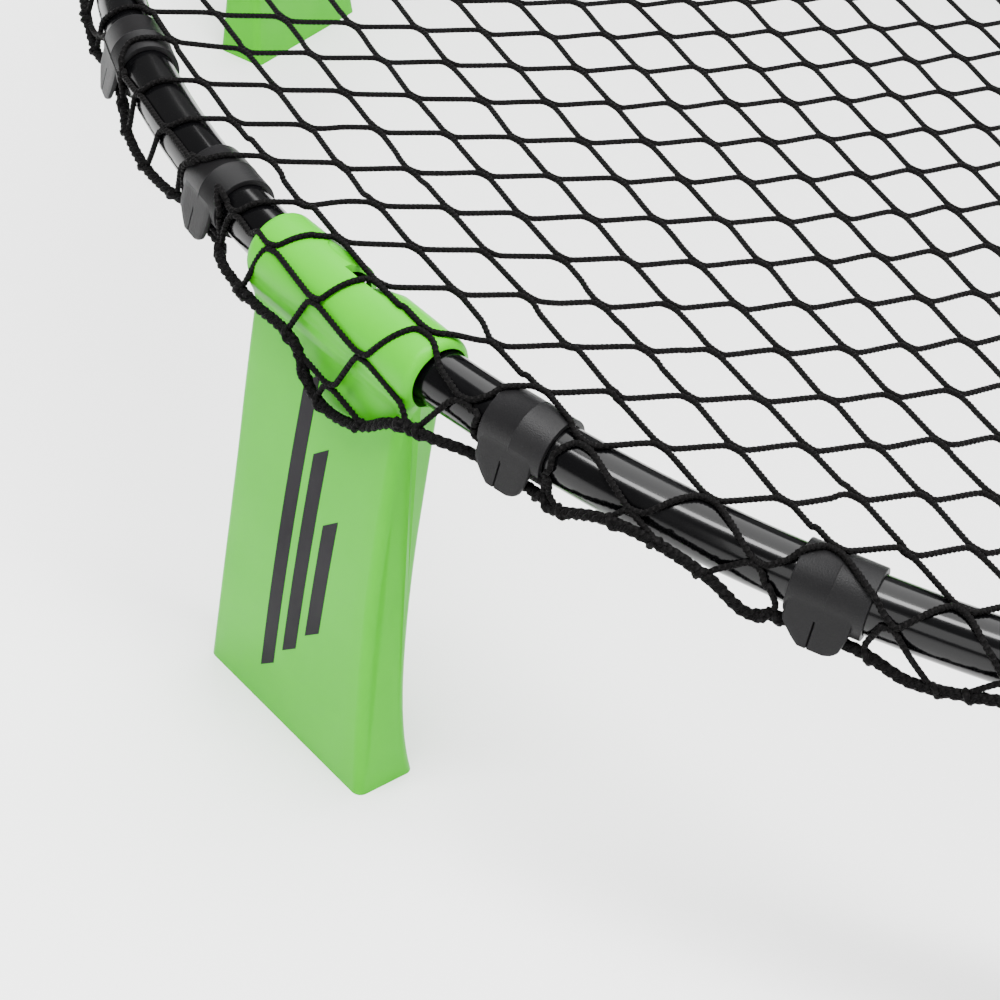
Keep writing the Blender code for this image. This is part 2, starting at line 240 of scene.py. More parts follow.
def lathe(name: str, profile: Sequence[tuple[float, float]], sides: int, matrix: Matrix) -> bpy.types.Mesh:
    """A turned solid about X.

    Args:
        name: The mesh's name.
        profile: Places along X with the radius there, as a closed loop or from axis to axis.
        sides: How many sides the turned shape has.
        matrix: Where the solid goes.

    Returns:
        The mesh.
    """
    turn = np.arange(sides) * 2 * pi / sides
    grid = np.empty((len(profile), sides, 3))
    for row, (along, radius) in enumerate(profile):
        grid[row] = np.stack([np.full(sides, along), radius * np.cos(turn), radius * np.sin(turn)], axis=-1)
    ring_shaped = profile[0][1] > 0 and profile[-1][1] > 0
    mesh = grid_mesh(name, grid, closed_rows=ring_shaped, caps=False)
    mesh.transform(matrix)
    return mesh


def baked(obj: bpy.types.Object, name: str) -> bpy.types.Mesh:
    """An object's mesh with its modifiers applied; the object itself goes.

    Args:
        obj: The object.
        name: The new mesh's name.

    Returns:
        The mesh.
    """
    bpy.context.view_layer.update()
    graph = bpy.context.evaluated_depsgraph_get()
    mesh = bpy.data.meshes.new_from_object(obj.evaluated_get(graph))
    mesh.name = name
    bpy.data.objects.remove(obj, do_unlink=True)
    return mesh


def linked(name: str, mesh: bpy.types.Mesh) -> bpy.types.Object:
    """Puts a mesh in the scene as an object at the origin.

    Args:
        name: The object's name.
        mesh: Its mesh.

    Returns:
        The object.
    """
    obj = bpy.data.objects.new(name, mesh)
    bpy.context.scene.collection.objects.link(obj)
    return obj


def carved(mesh: bpy.types.Mesh, cutters: Sequence[bpy.types.Mesh]) -> bpy.types.Mesh:
    """A mesh with others cut out of it.

    Args:
        mesh: The mesh to cut.
        cutters: Closed meshes, which are removed.

    Returns:
        The cut mesh.
    """
    body = linked("carving", mesh)
    tools = [linked("cutter", cutter) for cutter in cutters]
    for tool in tools:
        cut = body.modifiers.new("cut", "BOOLEAN")
        cut.object = tool
        cut.operation = "DIFFERENCE"
        cut.solver = "EXACT"
    result = baked(body, mesh.name)
    for tool in tools:
        bpy.data.objects.remove(tool, do_unlink=True)
    for cutter in cutters:
        bpy.data.meshes.remove(cutter)
    return result


@dataclass(frozen=True)
class Ring:
    """The ring that everything hangs on: one centre line of five equal sections.

    The hooks' places are distances along the ring from the middle of a section's leg.
    """

    radius: float = 0.450
    height: float = 0.1785
    tube_radius: float = 0.0095
    sections: int = 5
    hook_places: tuple[float, ...] = (-0.1700, -0.0770, 0.0792, 0.1840)

    @property
    def section_length(self) -> float:
        """The length of one section's stretch of the centre line."""
        return 2 * pi * self.radius / self.sections

    def section_turn(self, number: int) -> float:
        """The angle of a section's middle; sections count from 1."""
        return (number - 1) * 2 * pi / self.sections

    def points(self, along: Array, out: Array, up: Array) -> Array:
        """Places on the ring as points.

        Args:
            along: Distance along the whole ring, from the first leg.
            out: Distance outwards of the centre line.
            up: Height above the centre line.

        Returns:
            The points, one row each.
        """
        angle = np.asarray(along, float) / self.radius
        reach = self.radius + np.asarray(out, float)
        height = self.height + np.asarray(up, float)
        return np.stack(np.broadcast_arrays(reach * np.sin(angle), -reach * np.cos(angle), height), axis=-1)

    def place(self, angle: float) -> Matrix:
        """The frame at an angle: X along the ring, Y inwards, Z up, on the centre line."""
        return Matrix.Rotation(angle, 4, "Z") @ Matrix.Translation((0, -self.radius, self.height))

    def within_section(self, along: Array) -> Array:
        """Distances along the whole ring as distances from the nearest leg."""
        half = self.section_length / 2
        return (np.asarray(along, float) + half) % self.section_length - half

    def check(self, frame: dict[str, Any]) -> None:
        """Logs how far the ring's sizes are from the frame's own.
        """
        hinge = Vector(frame["joints"][0]["pos_m"])
        low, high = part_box("net_hook_03")
        middle = (low + high) / 2
        hook = atan2(middle.x, -middle.y) * self.radius
        LOG.info("rim height off by %.2f mm", 1000 * (hinge.z - self.height))
        LOG.info("third hook off by %.2f mm", 1000 * (hook - self.hook_places[2]))


# Shader groups


@dataclass
class Sockets:
    """A node tree that is being built, with short ways to add and link nodes."""

    tree: bpy.types.NodeTree

    def add(self, kind: str, **settings: Any) -> bpy.types.Node:
        """Adds a node.

        Args:
            kind: The node's type.
            settings: Its properties.

        Returns:
            The node.
        """
        node = self.tree.nodes.new(kind)
        for name, value in settings.items():
            setattr(node, name, value)
        return node

    def feed(self, node: bpy.types.Node, **inputs: Any) -> bpy.types.Node:
        """Sets or links a node's inputs; an underscore in a name stands for a space.

        Args:
            node: The node.
            inputs: A socket to link, or a value to set, for each input.

        Returns:
            The same node.
        """
        for name, value in inputs.items():
            socket = node.inputs[name.replace("_", " ")]
            if isinstance(value, bpy.types.NodeSocket):
                self.tree.links.new(value, socket)
            else:
                socket.default_value = value
        return node

    def math(self, operation: str, first: Any, second: Any = 0.0, third: Any = 0.0) -> bpy.types.NodeSocket:
        """A Math node's result, from sockets or numbers."""
        node = self.add("ShaderNodeMath", operation=operation)
        for socket, value in zip(node.inputs, (first, second, third)):
            if isinstance(value, bpy.types.NodeSocket):
                self.tree.links.new(value, socket)
            else:
                socket.default_value = value
        return node.outputs[0]

    def noise(self, vector: bpy.types.NodeSocket, scale: float, detail: float = 3.0) -> bpy.types.NodeSocket:
        """A Noise Texture's value at a scale."""
        node = self.feed(self.add("ShaderNodeTexNoise"), Vector=vector, Scale=scale, Detail=detail)
        return node.outputs[0]

    def map_range(
        self, value: Any, source: tuple[float, float], target: tuple[float, float]
    ) -> bpy.types.NodeSocket:
        """A value moved from one range to another."""
        node = self.add("ShaderNodeMapRange")
        self.feed(node, Value=value, From_Min=source[0], From_Max=source[1])
        self.feed(node, To_Min=target[0], To_Max=target[1])
        return node.outputs[0]


def new_group(name: str, inputs: dict[str, str], outputs: dict[str, str]) -> tuple[Sockets, Any, Any]:
    """Starts a shader node group.

    Args:
        name: The group's name.
        inputs: Its inputs' names and socket types.
        outputs: Its outputs' names and socket types.

    Returns:
        The builder, the Group Input node and the Group Output node.
    """
    tree = bpy.data.node_groups.new(name, "ShaderNodeTree")
    for sockets, way in ((inputs, "INPUT"), (outputs, "OUTPUT")):
        for socket, kind in sockets.items():
            tree.interface.new_socket(name=socket, in_out=way, socket_type=kind)
    build = Sockets(tree)
    return build, build.add("NodeGroupInput"), build.add("NodeGroupOutput")


def skin_grain_group() -> bpy.types.NodeTree:
    """The skin of a moulding: fine grain, slow waviness, and faint rubbed patches."""
    build, given, result = new_group(
        "skin_grain",
        {"Vector": "NodeSocketVector", "Grain": "NodeSocketFloat", "Wave": "NodeSocketFloat"},
        {"Height": "NodeSocketFloat", "Patches": "NodeSocketFloat", "Specks": "NodeSocketFloat"},
    )
    vector = given.outputs["Vector"]
    grain = build.math("MULTIPLY", build.noise(vector, 2600.0, 2.0), given.outputs["Grain"])
    wave = build.math("MULTIPLY", build.noise(vector, 55.0, 1.0), given.outputs["Wave"])
    specks = build.map_range(build.noise(vector, 900.0, 4.0), (0.68, 0.78), (0.0, 1.0))
    links = build.tree.links
    links.new(build.math("ADD", grain, wave), result.inputs["Height"])
    links.new(build.noise(vector, 24.0, 5.0), result.inputs["Patches"])
    links.new(specks, result.inputs["Specks"])
    return build.tree


def cord_yarn_group() -> bpy.types.NodeTree:
    """The yarns of a cord from its own map: along it in metres, and round it from 0 to 1."""
    build, given, result = new_group(
        "cord_yarn",
        {
            "Map": "NodeSocketVector",
            "Vector": "NodeSocketVector",
            "Pitch": "NodeSocketFloat",
            "Slant": "NodeSocketFloat",
        },
        {"Height": "NodeSocketFloat", "Tone": "NodeSocketFloat"},
    )
    split = build.feed(build.add("ShaderNodeSeparateXYZ"), Vector=given.outputs["Map"])
    turns = build.math("MULTIPLY", split.outputs[1], 2 * pi)
    along = build.math("DIVIDE", build.math("MULTIPLY", split.outputs[0], 2 * pi), given.outputs["Pitch"])
    slanted = build.math("MULTIPLY", build.math("SINE", turns), given.outputs["Slant"])
    stitches = build.math("SINE", build.math("ADD", along, slanted))
    crossing = build.math("SINE", build.math("SUBTRACT", build.math("MULTIPLY", along, 2.0), slanted))
    fuzz = build.noise(given.outputs["Vector"], 2200.0, 3.0)
    ribs = build.math("MULTIPLY_ADD", crossing, 0.35, stitches)
    links = build.tree.links
    links.new(build.math("MULTIPLY_ADD", fuzz, 1.2, ribs), result.inputs["Height"])
    links.new(build.map_range(build.math("ADD", ribs, fuzz), (-1.0, 2.2), (0.0, 1.0)), result.inputs["Tone"])
    return build.tree


# Finishes


@dataclass
class Workshop:
    """The shader groups that more than one finish uses, each built once."""

    skin_grain: bpy.types.NodeTree = field(default_factory=skin_grain_group)
    cord_yarn: bpy.types.NodeTree = field(default_factory=cord_yarn_group)

    def start(self, name: str, colour: Colour) -> tuple[bpy.types.Material, Sockets, Any]:
        """Starts a material.

        Args:
            name: The material's name.
            colour: Its plain colour, for viewers without nodes.

        Returns:
            The material, its builder and its Principled BSDF.
        """
        material = bpy.data.materials.new(name)
        material.use_nodes = True
        material.diffuse_color = (*colour, 1.0)
        build = Sockets(material.node_tree)
        return material, build, material.node_tree.nodes["Principled BSDF"]

    def place_group(self, build: Sockets, tree: bpy.types.NodeTree, **inputs: Any) -> bpy.types.Node:
        """Adds a shader group to a material with its own values."""
        return build.feed(build.add("ShaderNodeGroup", node_tree=tree), **inputs)

    def mixed(self, build: Sockets, share: Any, first: Colour, second: Colour) -> bpy.types.NodeSocket:
        """A colour between two, by a share that varies over the surface."""
        mix = build.add("ShaderNodeMix", data_type="RGBA")
        build.tree.links.new(share, mix.inputs[0])
        mix.inputs[6].default_value = (*first, 1.0)
        mix.inputs[7].default_value = (*second, 1.0)
        return mix.outputs[2]

    def bumped(self, build: Sockets, height: bpy.types.NodeSocket, depth: float) -> bpy.types.NodeSocket:
        """A normal from a height, depth being how many metres a height of 1 is."""
        bump = build.feed(build.add("ShaderNodeBump"), Height=height, Distance=depth, Strength=1.0)
        return bump.outputs[0]


@dataclass(frozen=True)
class MouldedPlastic:
    """A moulded plastic: its colour, the shade it takes in patches, and its skin."""

    name: str
    colour: Colour
    shade: Colour
    dust: Colour
    skin: Mould
    roughness: tuple[float, float]
    shine: float = 0.5

    def material(self, shop: Workshop) -> bpy.types.Material:
        """The plastic as a material.

        Args:
            shop: The shared shader groups.

        Returns:
            The material.
        """
        material, build, shader = shop.start(self.name, self.colour)
        places = build.add("ShaderNodeTexCoord").outputs["Object"]
        matt = self.skin is Mould.MATT
        skin = shop.place_group(build, shop.skin_grain, Vector=places, Grain=1.0 if matt else 0.35, Wave=0.6)
        patches = build.map_range(skin.outputs["Patches"], (0.35, 0.65), (0.0, 1.0))
        colour = shop.mixed(build, patches, self.colour, self.shade)
        dusty = build.add("ShaderNodeMix", data_type="RGBA")
        build.tree.links.new(build.math("MULTIPLY", skin.outputs["Specks"], 0.25), dusty.inputs[0])
        build.tree.links.new(colour, dusty.inputs[6])
        dusty.inputs[7].default_value = (*self.dust, 1.0)
        build.feed(
            shader,
            Base_Color=dusty.outputs[2],
            Roughness=build.map_range(skin.outputs["Patches"], (0.3, 0.7), self.roughness),
            Normal=shop.bumped(build, skin.outputs["Height"], 0.00012 if matt else 0.00005),
        )
        shader.inputs["Specular IOR Level"].default_value = self.shine
        return material


@dataclass(frozen=True)
class TubeEnamel:
    """Gloss enamel on a steel tube."""

    name: str
    colour: Colour
    worn: Colour

    def material(self, shop: Workshop) -> bpy.types.Material:
        """The enamel as a material.

        Args:
            shop: The shared shader groups.

        Returns:
            The material.
        """
        material, build, shader = shop.start(self.name, self.colour)
        places = build.add("ShaderNodeTexCoord").outputs["Object"]
        skin = shop.place_group(build, shop.skin_grain, Vector=places, Grain=0.10, Wave=1.0)
        rubbed = build.map_range(skin.outputs["Patches"], (0.5, 0.8), (0.0, 1.0))
        build.feed(
            shader,
            Base_Color=shop.mixed(build, rubbed, self.colour, self.worn),
            Roughness=build.map_range(skin.outputs["Patches"], (0.3, 0.75), (0.14, 0.24)),
            Normal=shop.bumped(build, skin.outputs["Height"], 0.00002),
        )
        shader.inputs["Coat Weight"].default_value = 0.10
        shader.inputs["Specular IOR Level"].default_value = 0.16
        shader.inputs["Coat Roughness"].default_value = 0.05
        return material


@dataclass(frozen=True)
class CordFibre:
    """A black polyester cord."""

    name: str
    colour: Colour
    # lit is a painted highlight: the lighter colour laid on the raised stitch crests, mixed with random fuzz
    # tone
    lit: Colour
    lay: Lay
    pitch: float

    def material(self, shop: Workshop) -> bpy.types.Material:
        """The cord as a material.

        Args:
            shop: The shared shader groups.

        Returns:
            The material.
        """
        material, build, shader = shop.start(self.name, self.colour)
        places = build.add("ShaderNodeTexCoord").outputs["Object"]
        route = build.add("ShaderNodeUVMap", uv_map=CordSweep.MAP)
        slant = 1.6 if self.lay is Lay.KNITTED else 3.0
        yarn = shop.place_group(
            build, shop.cord_yarn, Map=route.outputs[0], Vector=places, Pitch=self.pitch, Slant=slant
        )
        # Tone mixes in the painted highlight on the stitch crests; its random fuzz part is real yarn tone
        build.feed(
            shader,
            Base_Color=shop.mixed(build, yarn.outputs["Tone"], self.colour, self.lit),
            Roughness=build.map_range(yarn.outputs["Tone"], (0.0, 1.0), (0.72, 0.52)),
            Normal=shop.bumped(build, yarn.outputs["Height"], 0.00016),
        )
        shader.inputs["Sheen Weight"].default_value = 0.01
        shader.inputs["Specular IOR Level"].default_value = 0.05
        shader.inputs["Sheen Roughness"].default_value = 0.5
        return material


@dataclass(frozen=True)
class TurnedSteel:
    """Bare turned steel."""

    name: str
    colour: Colour

    def material(self, shop: Workshop) -> bpy.types.Material:
        """The steel as a material.

        Args:
            shop: The shared shader groups.

        Returns:
            The material.
        """
        material, build, shader = shop.start(self.name, self.colour)
        places = build.add("ShaderNodeTexCoord").outputs["Object"]
        skin = shop.place_group(build, shop.skin_grain, Vector=places, Grain=0.5, Wave=0.2)
        build.feed(
            shader,
            Base_Color=shop.mixed(build, skin.outputs["Patches"], self.colour, (0.36, 0.35, 0.34)),
            Roughness=build.map_range(skin.outputs["Patches"], (0.3, 0.7), (0.24, 0.4)),
            Normal=shop.bumped(build, skin.outputs["Height"], 0.00003),
        )
        shader.inputs["Metallic"].default_value = 1.0
        return material


GREEN_PLASTIC = MouldedPlastic(
    "green_plastic",
    colour=(0.036, 0.360, 0.0),
    shade=(0.032, 0.335, 0.0),
    dust=(0.06, 0.42, 0.01),
    skin=Mould.SATIN,
    roughness=(0.36, 0.44),
    shine=0.10,
)
HOOK_PLASTIC = MouldedPlastic(
    "hook_plastic",
    colour=(0.0060, 0.0058, 0.0062),
    shade=(0.0045, 0.0045, 0.0048),
    dust=(0.030, 0.030, 0.030),
    skin=Mould.MATT,
    roughness=(0.40, 0.50),
    shine=0.12,
)
MARK_INK = MouldedPlastic(
    "mark_ink",
    colour=(0.010, 0.009, 0.011),
    shade=(0.008, 0.007, 0.009),
    dust=(0.03, 0.03, 0.03),
    skin=Mould.SATIN,
    roughness=(0.5, 0.6),
    shine=0.05,
)
TUBE_ENAMEL = TubeEnamel("tube_enamel", colour=(0.0012, 0.0012, 0.0014), worn=(0.0022, 0.0022, 0.0024))
STOP_STEEL = TurnedSteel("stop_steel", colour=(0.50, 0.49, 0.48))
NET_CORD = CordFibre(
    "net_cord", colour=(0.0004, 0.0004, 0.0004), lit=(0.0034, 0.0030, 0.0031), lay=Lay.KNITTED, pitch=0.0020
)
ROPE_CORD = CordFibre(
    "rope_cord", colour=(0.0004, 0.0004, 0.0004), lit=(0.0032, 0.0029, 0.0030), lay=Lay.TWISTED, pitch=0.0018
)


# Geometry Nodes


def new_tree(name: str, inputs: dict[str, str]) -> tuple[Sockets, Any, Any]:
    """Starts a Geometry Nodes tree that takes and gives geometry.

    Args:
        name: The tree's name.
        inputs: Its other inputs' names and socket types.

    Returns:
        The builder, the Group Input node and the Group Output node.
    """
    tree = bpy.data.node_groups.new(name, "GeometryNodeTree")
    tree.interface.new_socket(name="Geometry", in_out="INPUT", socket_type="NodeSocketGeometry")
    tree.interface.new_socket(name="Geometry", in_out="OUTPUT", socket_type="NodeSocketGeometry")
    for socket, kind in inputs.items():
        tree.interface.new_socket(name=socket, in_out="INPUT", socket_type=kind)
    build = Sockets(tree)
    return build, build.add("NodeGroupInput"), build.add("NodeGroupOutput")


def run_tree(
    tree: bpy.types.NodeTree, name: str, mesh: bpy.types.Mesh, values: dict[str, Any]
) -> bpy.types.Mesh:
    """A tree's result on a mesh, as a plain mesh.

    Args:
        tree: The tree.
        name: The result's name.
        mesh: The geometry that goes in, which is removed.
        values: A value for each named input.

    Returns:
        The new mesh.
    """
    obj = linked(name, mesh)
    modifier = obj.modifiers.new(tree.name, "NODES")
    modifier.node_group = tree
    keys = {item.name: item.identifier for item in tree.interface.items_tree if item.in_out == "INPUT"}
    for socket, value in values.items():
        modifier[keys[socket]] = value
    result = baked(obj, name)
    bpy.data.meshes.remove(mesh)
    return result


@dataclass
class CordSweep:
    """Sweeps cords along paths, with stitches that swell and narrow by turns."""

    MAP = "cord_map"

    tree: bpy.types.NodeTree = field(init=False)

    def __post_init__(self) -> None:
        """Builds the tree."""
        build, given, result = new_tree(
            "laid_cord",
            {
                "Radius": "NodeSocketFloat",
                "Stitch": "NodeSocketFloat",
                "Swell": "NodeSocketFloat",
                "Sides": "NodeSocketInt",
                "Material": "NodeSocketMaterial",
            },
        )
        inputs = given.outputs
        curve = build.feed(build.add("GeometryNodeMeshToCurve"), Mesh=inputs["Geometry"]).outputs[0]
        even = build.add("GeometryNodeResampleCurve", mode="LENGTH")
        curve = build.feed(even, Curve=curve, Length=inputs["Stitch"]).outputs[0]
        upright = build.add("GeometryNodeSetCurveNormal", mode="Z_UP")
        curve = build.feed(upright, Curve=curve).outputs[0]
        parity = build.math("MODULO", build.add("GeometryNodeInputIndex").outputs[0], 2.0)
        bulge = build.math("MULTIPLY_ADD", parity, inputs["Swell"], 1.0)
        radius = build.math("MULTIPLY", bulge, inputs["Radius"])
        tilt = build.math("MULTIPLY", parity, build.math("DIVIDE", pi, inputs["Sides"]))
        tilted = build.feed(build.add("GeometryNodeSetCurveTilt"), Curve=curve, Tilt=tilt)
        way = build.add("GeometryNodeCaptureAttribute", domain="POINT")
        way.capture_items.new("FLOAT", "Way")
        parameter = build.add("GeometryNodeSplineParameter")
        build.feed(way, Geometry=tilted.outputs[0], Way=parameter.outputs["Length"])
        circle = build.add("GeometryNodeCurvePrimitiveCircle")
        build.feed(circle, Resolution=inputs["Sides"], Radius=1.0)
        round_way = build.add("GeometryNodeCaptureAttribute", domain="POINT")
        round_way.capture_items.new("FLOAT", "Round")
        build.feed(round_way, Geometry=circle.outputs[0], Round=parameter.outputs["Factor"])
        swept = build.add("GeometryNodeCurveToMesh")
        build.feed(swept, Curve=way.outputs[0], Profile_Curve=round_way.outputs[0])
        build.feed(swept, Scale=radius, Fill_Caps=True)
        pair = build.add("ShaderNodeCombineXYZ")
        build.feed(pair, X=way.outputs["Way"], Y=round_way.outputs["Round"])
        stored = build.add("GeometryNodeStoreNamedAttribute", data_type="FLOAT2", domain="CORNER")
        build.feed(stored, Geometry=swept.outputs[0], Name=self.MAP, Value=pair.outputs[0])
        smooth = build.feed(build.add("GeometryNodeSetShadeSmooth"), Geometry=stored.outputs[0])
        real = build.feed(build.add("GeometryNodeRealizeInstances"), Geometry=smooth.outputs[0])
        dressed = build.feed(
            build.add("GeometryNodeSetMaterial"), Geometry=real.outputs[0], Material=inputs["Material"]
        )
        build.tree.links.new(dressed.outputs[0], result.inputs[0])
        self.tree = build.tree

    def sweep(
        self,
        name: str,
        paths: Sequence[Array],
        radius: float,
        stitch: float,
        swell: float,
        sides: int,
        material: bpy.types.Material,
    ) -> bpy.types.Object:
        """Makes cords along paths.

        Args:
            name: The piece's name.
            paths: The paths, each rows of points.
            radius: A cord's radius where it is narrow.
            stitch: The length of half a stitch.
            swell: How much thicker a stitch is at its middle, as a share.
            sides: How many sides a cord has.
            material: Its material.

        Returns:
            The cords as one object.
        """
        mesh = bpy.data.meshes.new(name + "_route")
        starts = np.cumsum([0] + [len(path) for path in paths])
        edges = [
            (index, index + 1)
            for path, start in zip(paths, starts)
            for index in range(start, start + len(path) - 1)
        ]
        mesh.from_pydata(np.concatenate(paths).tolist(), edges, [])
        values = {"Radius": radius, "Stitch": stitch, "Swell": swell, "Sides": sides, "Material": material}
        result = run_tree(self.tree, name, mesh, values)
        return linked(name, result)


@dataclass
class RingCopies:
    """Copies one piece to named places along every section of the ring."""

    ring: Ring
    places: tuple[float, ...]
    tree: bpy.types.NodeTree = field(init=False)

    def __post_init__(self) -> None:
        """Builds the tree, with one input for each place."""
        names = [f"Place {number}" for number in range(1, len(self.places) + 1)]
        sockets = {name: "NodeSocketFloat" for name in names}
        sockets |= {"Sections": "NodeSocketInt", "Material": "NodeSocketMaterial"}
        build, given, result = new_tree("ring_copies", sockets)
        inputs = given.outputs
        each = float(len(self.places))
        index = build.add("GeometryNodeInputIndex").outputs[0]
        section = build.math("FLOOR", build.math("DIVIDE", index, each))
        choice = build.add("GeometryNodeIndexSwitch", data_type="FLOAT")
        while len(choice.index_switch_items) < len(names):
            choice.index_switch_items.new()
        build.tree.links.new(build.math("MODULO", index, each), choice.inputs[0])
        for socket, name in zip(choice.inputs[1:], names):
            build.tree.links.new(inputs[name], socket)
        turn = build.math("DIVIDE", 2 * pi, inputs["Sections"])
        angle = build.math("MULTIPLY_ADD", section, turn, choice.outputs[0])
        rotation = build.feed(build.add("ShaderNodeCombineXYZ"), Z=angle)
        count = build.math("MULTIPLY", inputs["Sections"], each)
        points = build.feed(build.add("GeometryNodePoints"), Count=count)
        copies = build.feed(
            build.add("GeometryNodeInstanceOnPoints"),
            Points=points.outputs[0],
            Instance=inputs["Geometry"],
            Rotation=rotation.outputs[0],
        )
        real = build.feed(build.add("GeometryNodeRealizeInstances"), Geometry=copies.outputs[0])
        dressed = build.feed(
            build.add("GeometryNodeSetMaterial"), Geometry=real.outputs[0], Material=inputs["Material"]
        )
        build.tree.links.new(dressed.outputs[0], result.inputs[0])
        self.tree = build.tree

    def copy(self, name: str, mesh: bpy.types.Mesh, material: bpy.types.Material) -> bpy.types.Object:
        """Makes the copies of a piece that stands at the first leg.

        Args:
            name: The result's name.
            mesh: The piece, at the middle of the first section.
            material: Its material.

        Returns:
            All copies as one object.
        """
        values: dict[str, Any] = {"Sections": self.ring.sections, "Material": material}
        for number, place in enumerate(self.places, 1):
            values[f"Place {number}"] = place / self.ring.radius
        return linked(name, run_tree(self.tree, name, mesh, values))


# Sub-assemblies


@dataclass
class RimTube:
    """The ring's five tube sections, each with a swaged end in the next one."""

    ring: Ring
    gap: float = 0.0008
    lip: float = 0.0004
    spigot_radius: float = 0.0079
    spigot_reach: float = 0.006
    sides: int = 48
    step: float = 0.0045

    def section_mesh(self, number: int) -> bpy.types.Mesh:
        """One section's skin.

        Args:
            number: The section, from 1.

        Returns:
            The mesh.
        """
        half = self.ring.section_length / 2
        radius = self.ring.tube_radius
        count = ceil((2 * half - self.gap) / self.step)
        along = np.linspace(-half + self.lip, half - self.gap - self.lip, count)
        places = [-half, *along, half - self.gap, half - self.gap, half + self.spigot_reach]
        radii = [radius - self.lip, *([radius] * count), radius - self.lip]
        radii += [self.spigot_radius, self.spigot_radius]
        turn = np.arange(self.sides) * 2 * pi / self.sides
        middle = (number - 1) * self.ring.section_length
        rows = [
            self.ring.points(middle + place, reach * np.sin(turn), reach * np.cos(turn))
            for place, reach in zip(places, radii)
        ]
        return grid_mesh(f"rim_tube_{number}", np.stack(rows))

    def build(self, enamel: bpy.types.Material) -> None:
        """Makes the sections and puts them on the frame."""
        for number in range(1, self.ring.sections + 1):
            tube = linked(f"rim_tube_{number}", self.section_mesh(number))
            tube.data.materials.append(enamel)
            fit(tube, RING_BODY, [f"rim_section_{number}"])


@dataclass
class NetHook:
    """A moulded hook: a band round the tube, and a tongue on its outer side that holds the rope."""

    ring: Ring
    length: float = 0.024
    inner: float = 0.0097
    outer: float = 0.01145
    seam: float = 0.00014
    tongue_top: float = 0.0012
    tongue_drop: float = 0.0138
    tongue_flare: float = 0.0023
    tongue_thickness: float = 0.0017
    left_edge: tuple[tuple[float, float], ...] = (
        (0.0012, -0.0112),
        (-0.0070, -0.0111),
        (-0.0088, -0.0100),
        (-0.0120, -0.0068),
        (-0.0138, -0.0045),
    )
    right_edge: tuple[tuple[float, float], ...] = (
        (0.0012, 0.0092),
        (-0.0050, 0.0092),
        (-0.0085, 0.0086),
        (-0.0115, 0.0078),
        (-0.0129, 0.0066),
        (-0.0138, 0.0042),
    )
    slit: float = -0.0014
    slit_half_width: float = 0.00035
    slit_top: float = -0.0050
    band_sides: int = 56
    tongue_rows: int = 22

    def band_mesh(self) -> bpy.types.Mesh:
        """The band, with softened ends and a mould seam along its outside."""
        half = self.length / 2
        soft = 0.0004
        profile = [
            (-half, self.inner),
            (-half, self.outer - soft),
            (-half + soft * 0.3, self.outer - soft * 0.3),
            (-half + soft, self.outer),
            (-0.0002, self.outer),
            (0.0, self.outer + self.seam),
            (0.0002, self.outer),
            (half - soft, self.outer),
            (half - soft * 0.3, self.outer - soft * 0.3),
            (half, self.outer - soft),
            (half, self.inner),
        ]
        return lathe("hook_band", profile, self.band_sides, self.seat())

    def seat(self) -> Matrix:
        """Where the hook stands: on the straight run of the tube between its ends."""
        return self.ring.place(0.0) @ Matrix.Translation((0, self.length**2 / 24 / self.ring.radius, 0))

    def tongue_mesh(self) -> bpy.types.Mesh:
        """The tongue: chamfered sides, a rounded tip, and a slit in its lower half."""
        heights = np.linspace(self.tongue_top, -self.tongue_drop, self.tongue_rows)
        left = np.interp(-heights, [-h for h, _ in self.left_edge], [x for _, x in self.left_edge])
        right = np.interp(-heights, [-h for h, _ in self.right_edge], [x for _, x in self.right_edge])
        shares = np.array([0.0, 0.02, 0.08, 0.2, 0.32, 1.0, 1.0, 1.0, 0.68, 0.8, 0.92, 0.98, 1.0])
        rows = []
        for height, low, high in zip(heights, left, right):
            down = max(0.0, -height) / self.tongue_drop
            flare = self.tongue_flare * down
            on_band = sqrt(max(self.outer**2 - max(0.0, height) ** 2, 0.0))
            face = on_band + flare
            thick = self.tongue_thickness * (1 - 0.35 * down**3)
            across = low + (high - low) * shares
            across[5:8] = (self.slit - self.slit_half_width, self.slit, self.slit + self.slit_half_width)
            depth = np.zeros(len(across))
            depth[0] = depth[-1] = 0.45 * thick
            depth[1] = depth[-2] = 0.12 * thick
            if height < self.slit_top:
                depth[6] = 0.55 * thick
            front = [(x, -(face - d), height) for x, d in zip(across, depth)]
            back = [(x, -(face - thick), height) for x in across[::-1]]
            rows.append(front + back)
        mesh = grid_mesh("hook_tongue", np.array(rows))
        mesh.transform(self.seat())
        return mesh

    def build(self, plastic: bpy.types.Material) -> None:
        """Makes all hooks of the ring and puts them on the frame."""
        hook = joined("net_hooks", [self.band_mesh(), self.tongue_mesh()])
        hook.shade_smooth()
        hook.set_sharp_from_angle(angle=radians(40))
        copies = RingCopies(self.ring, self.ring.hook_places).copy("net_hooks", hook, plastic)
        count = self.ring.sections * len(self.ring.hook_places)
        fit(copies, RING_BODY, [f"net_hook_{number:02d}" for number in range(1, count + 1)])


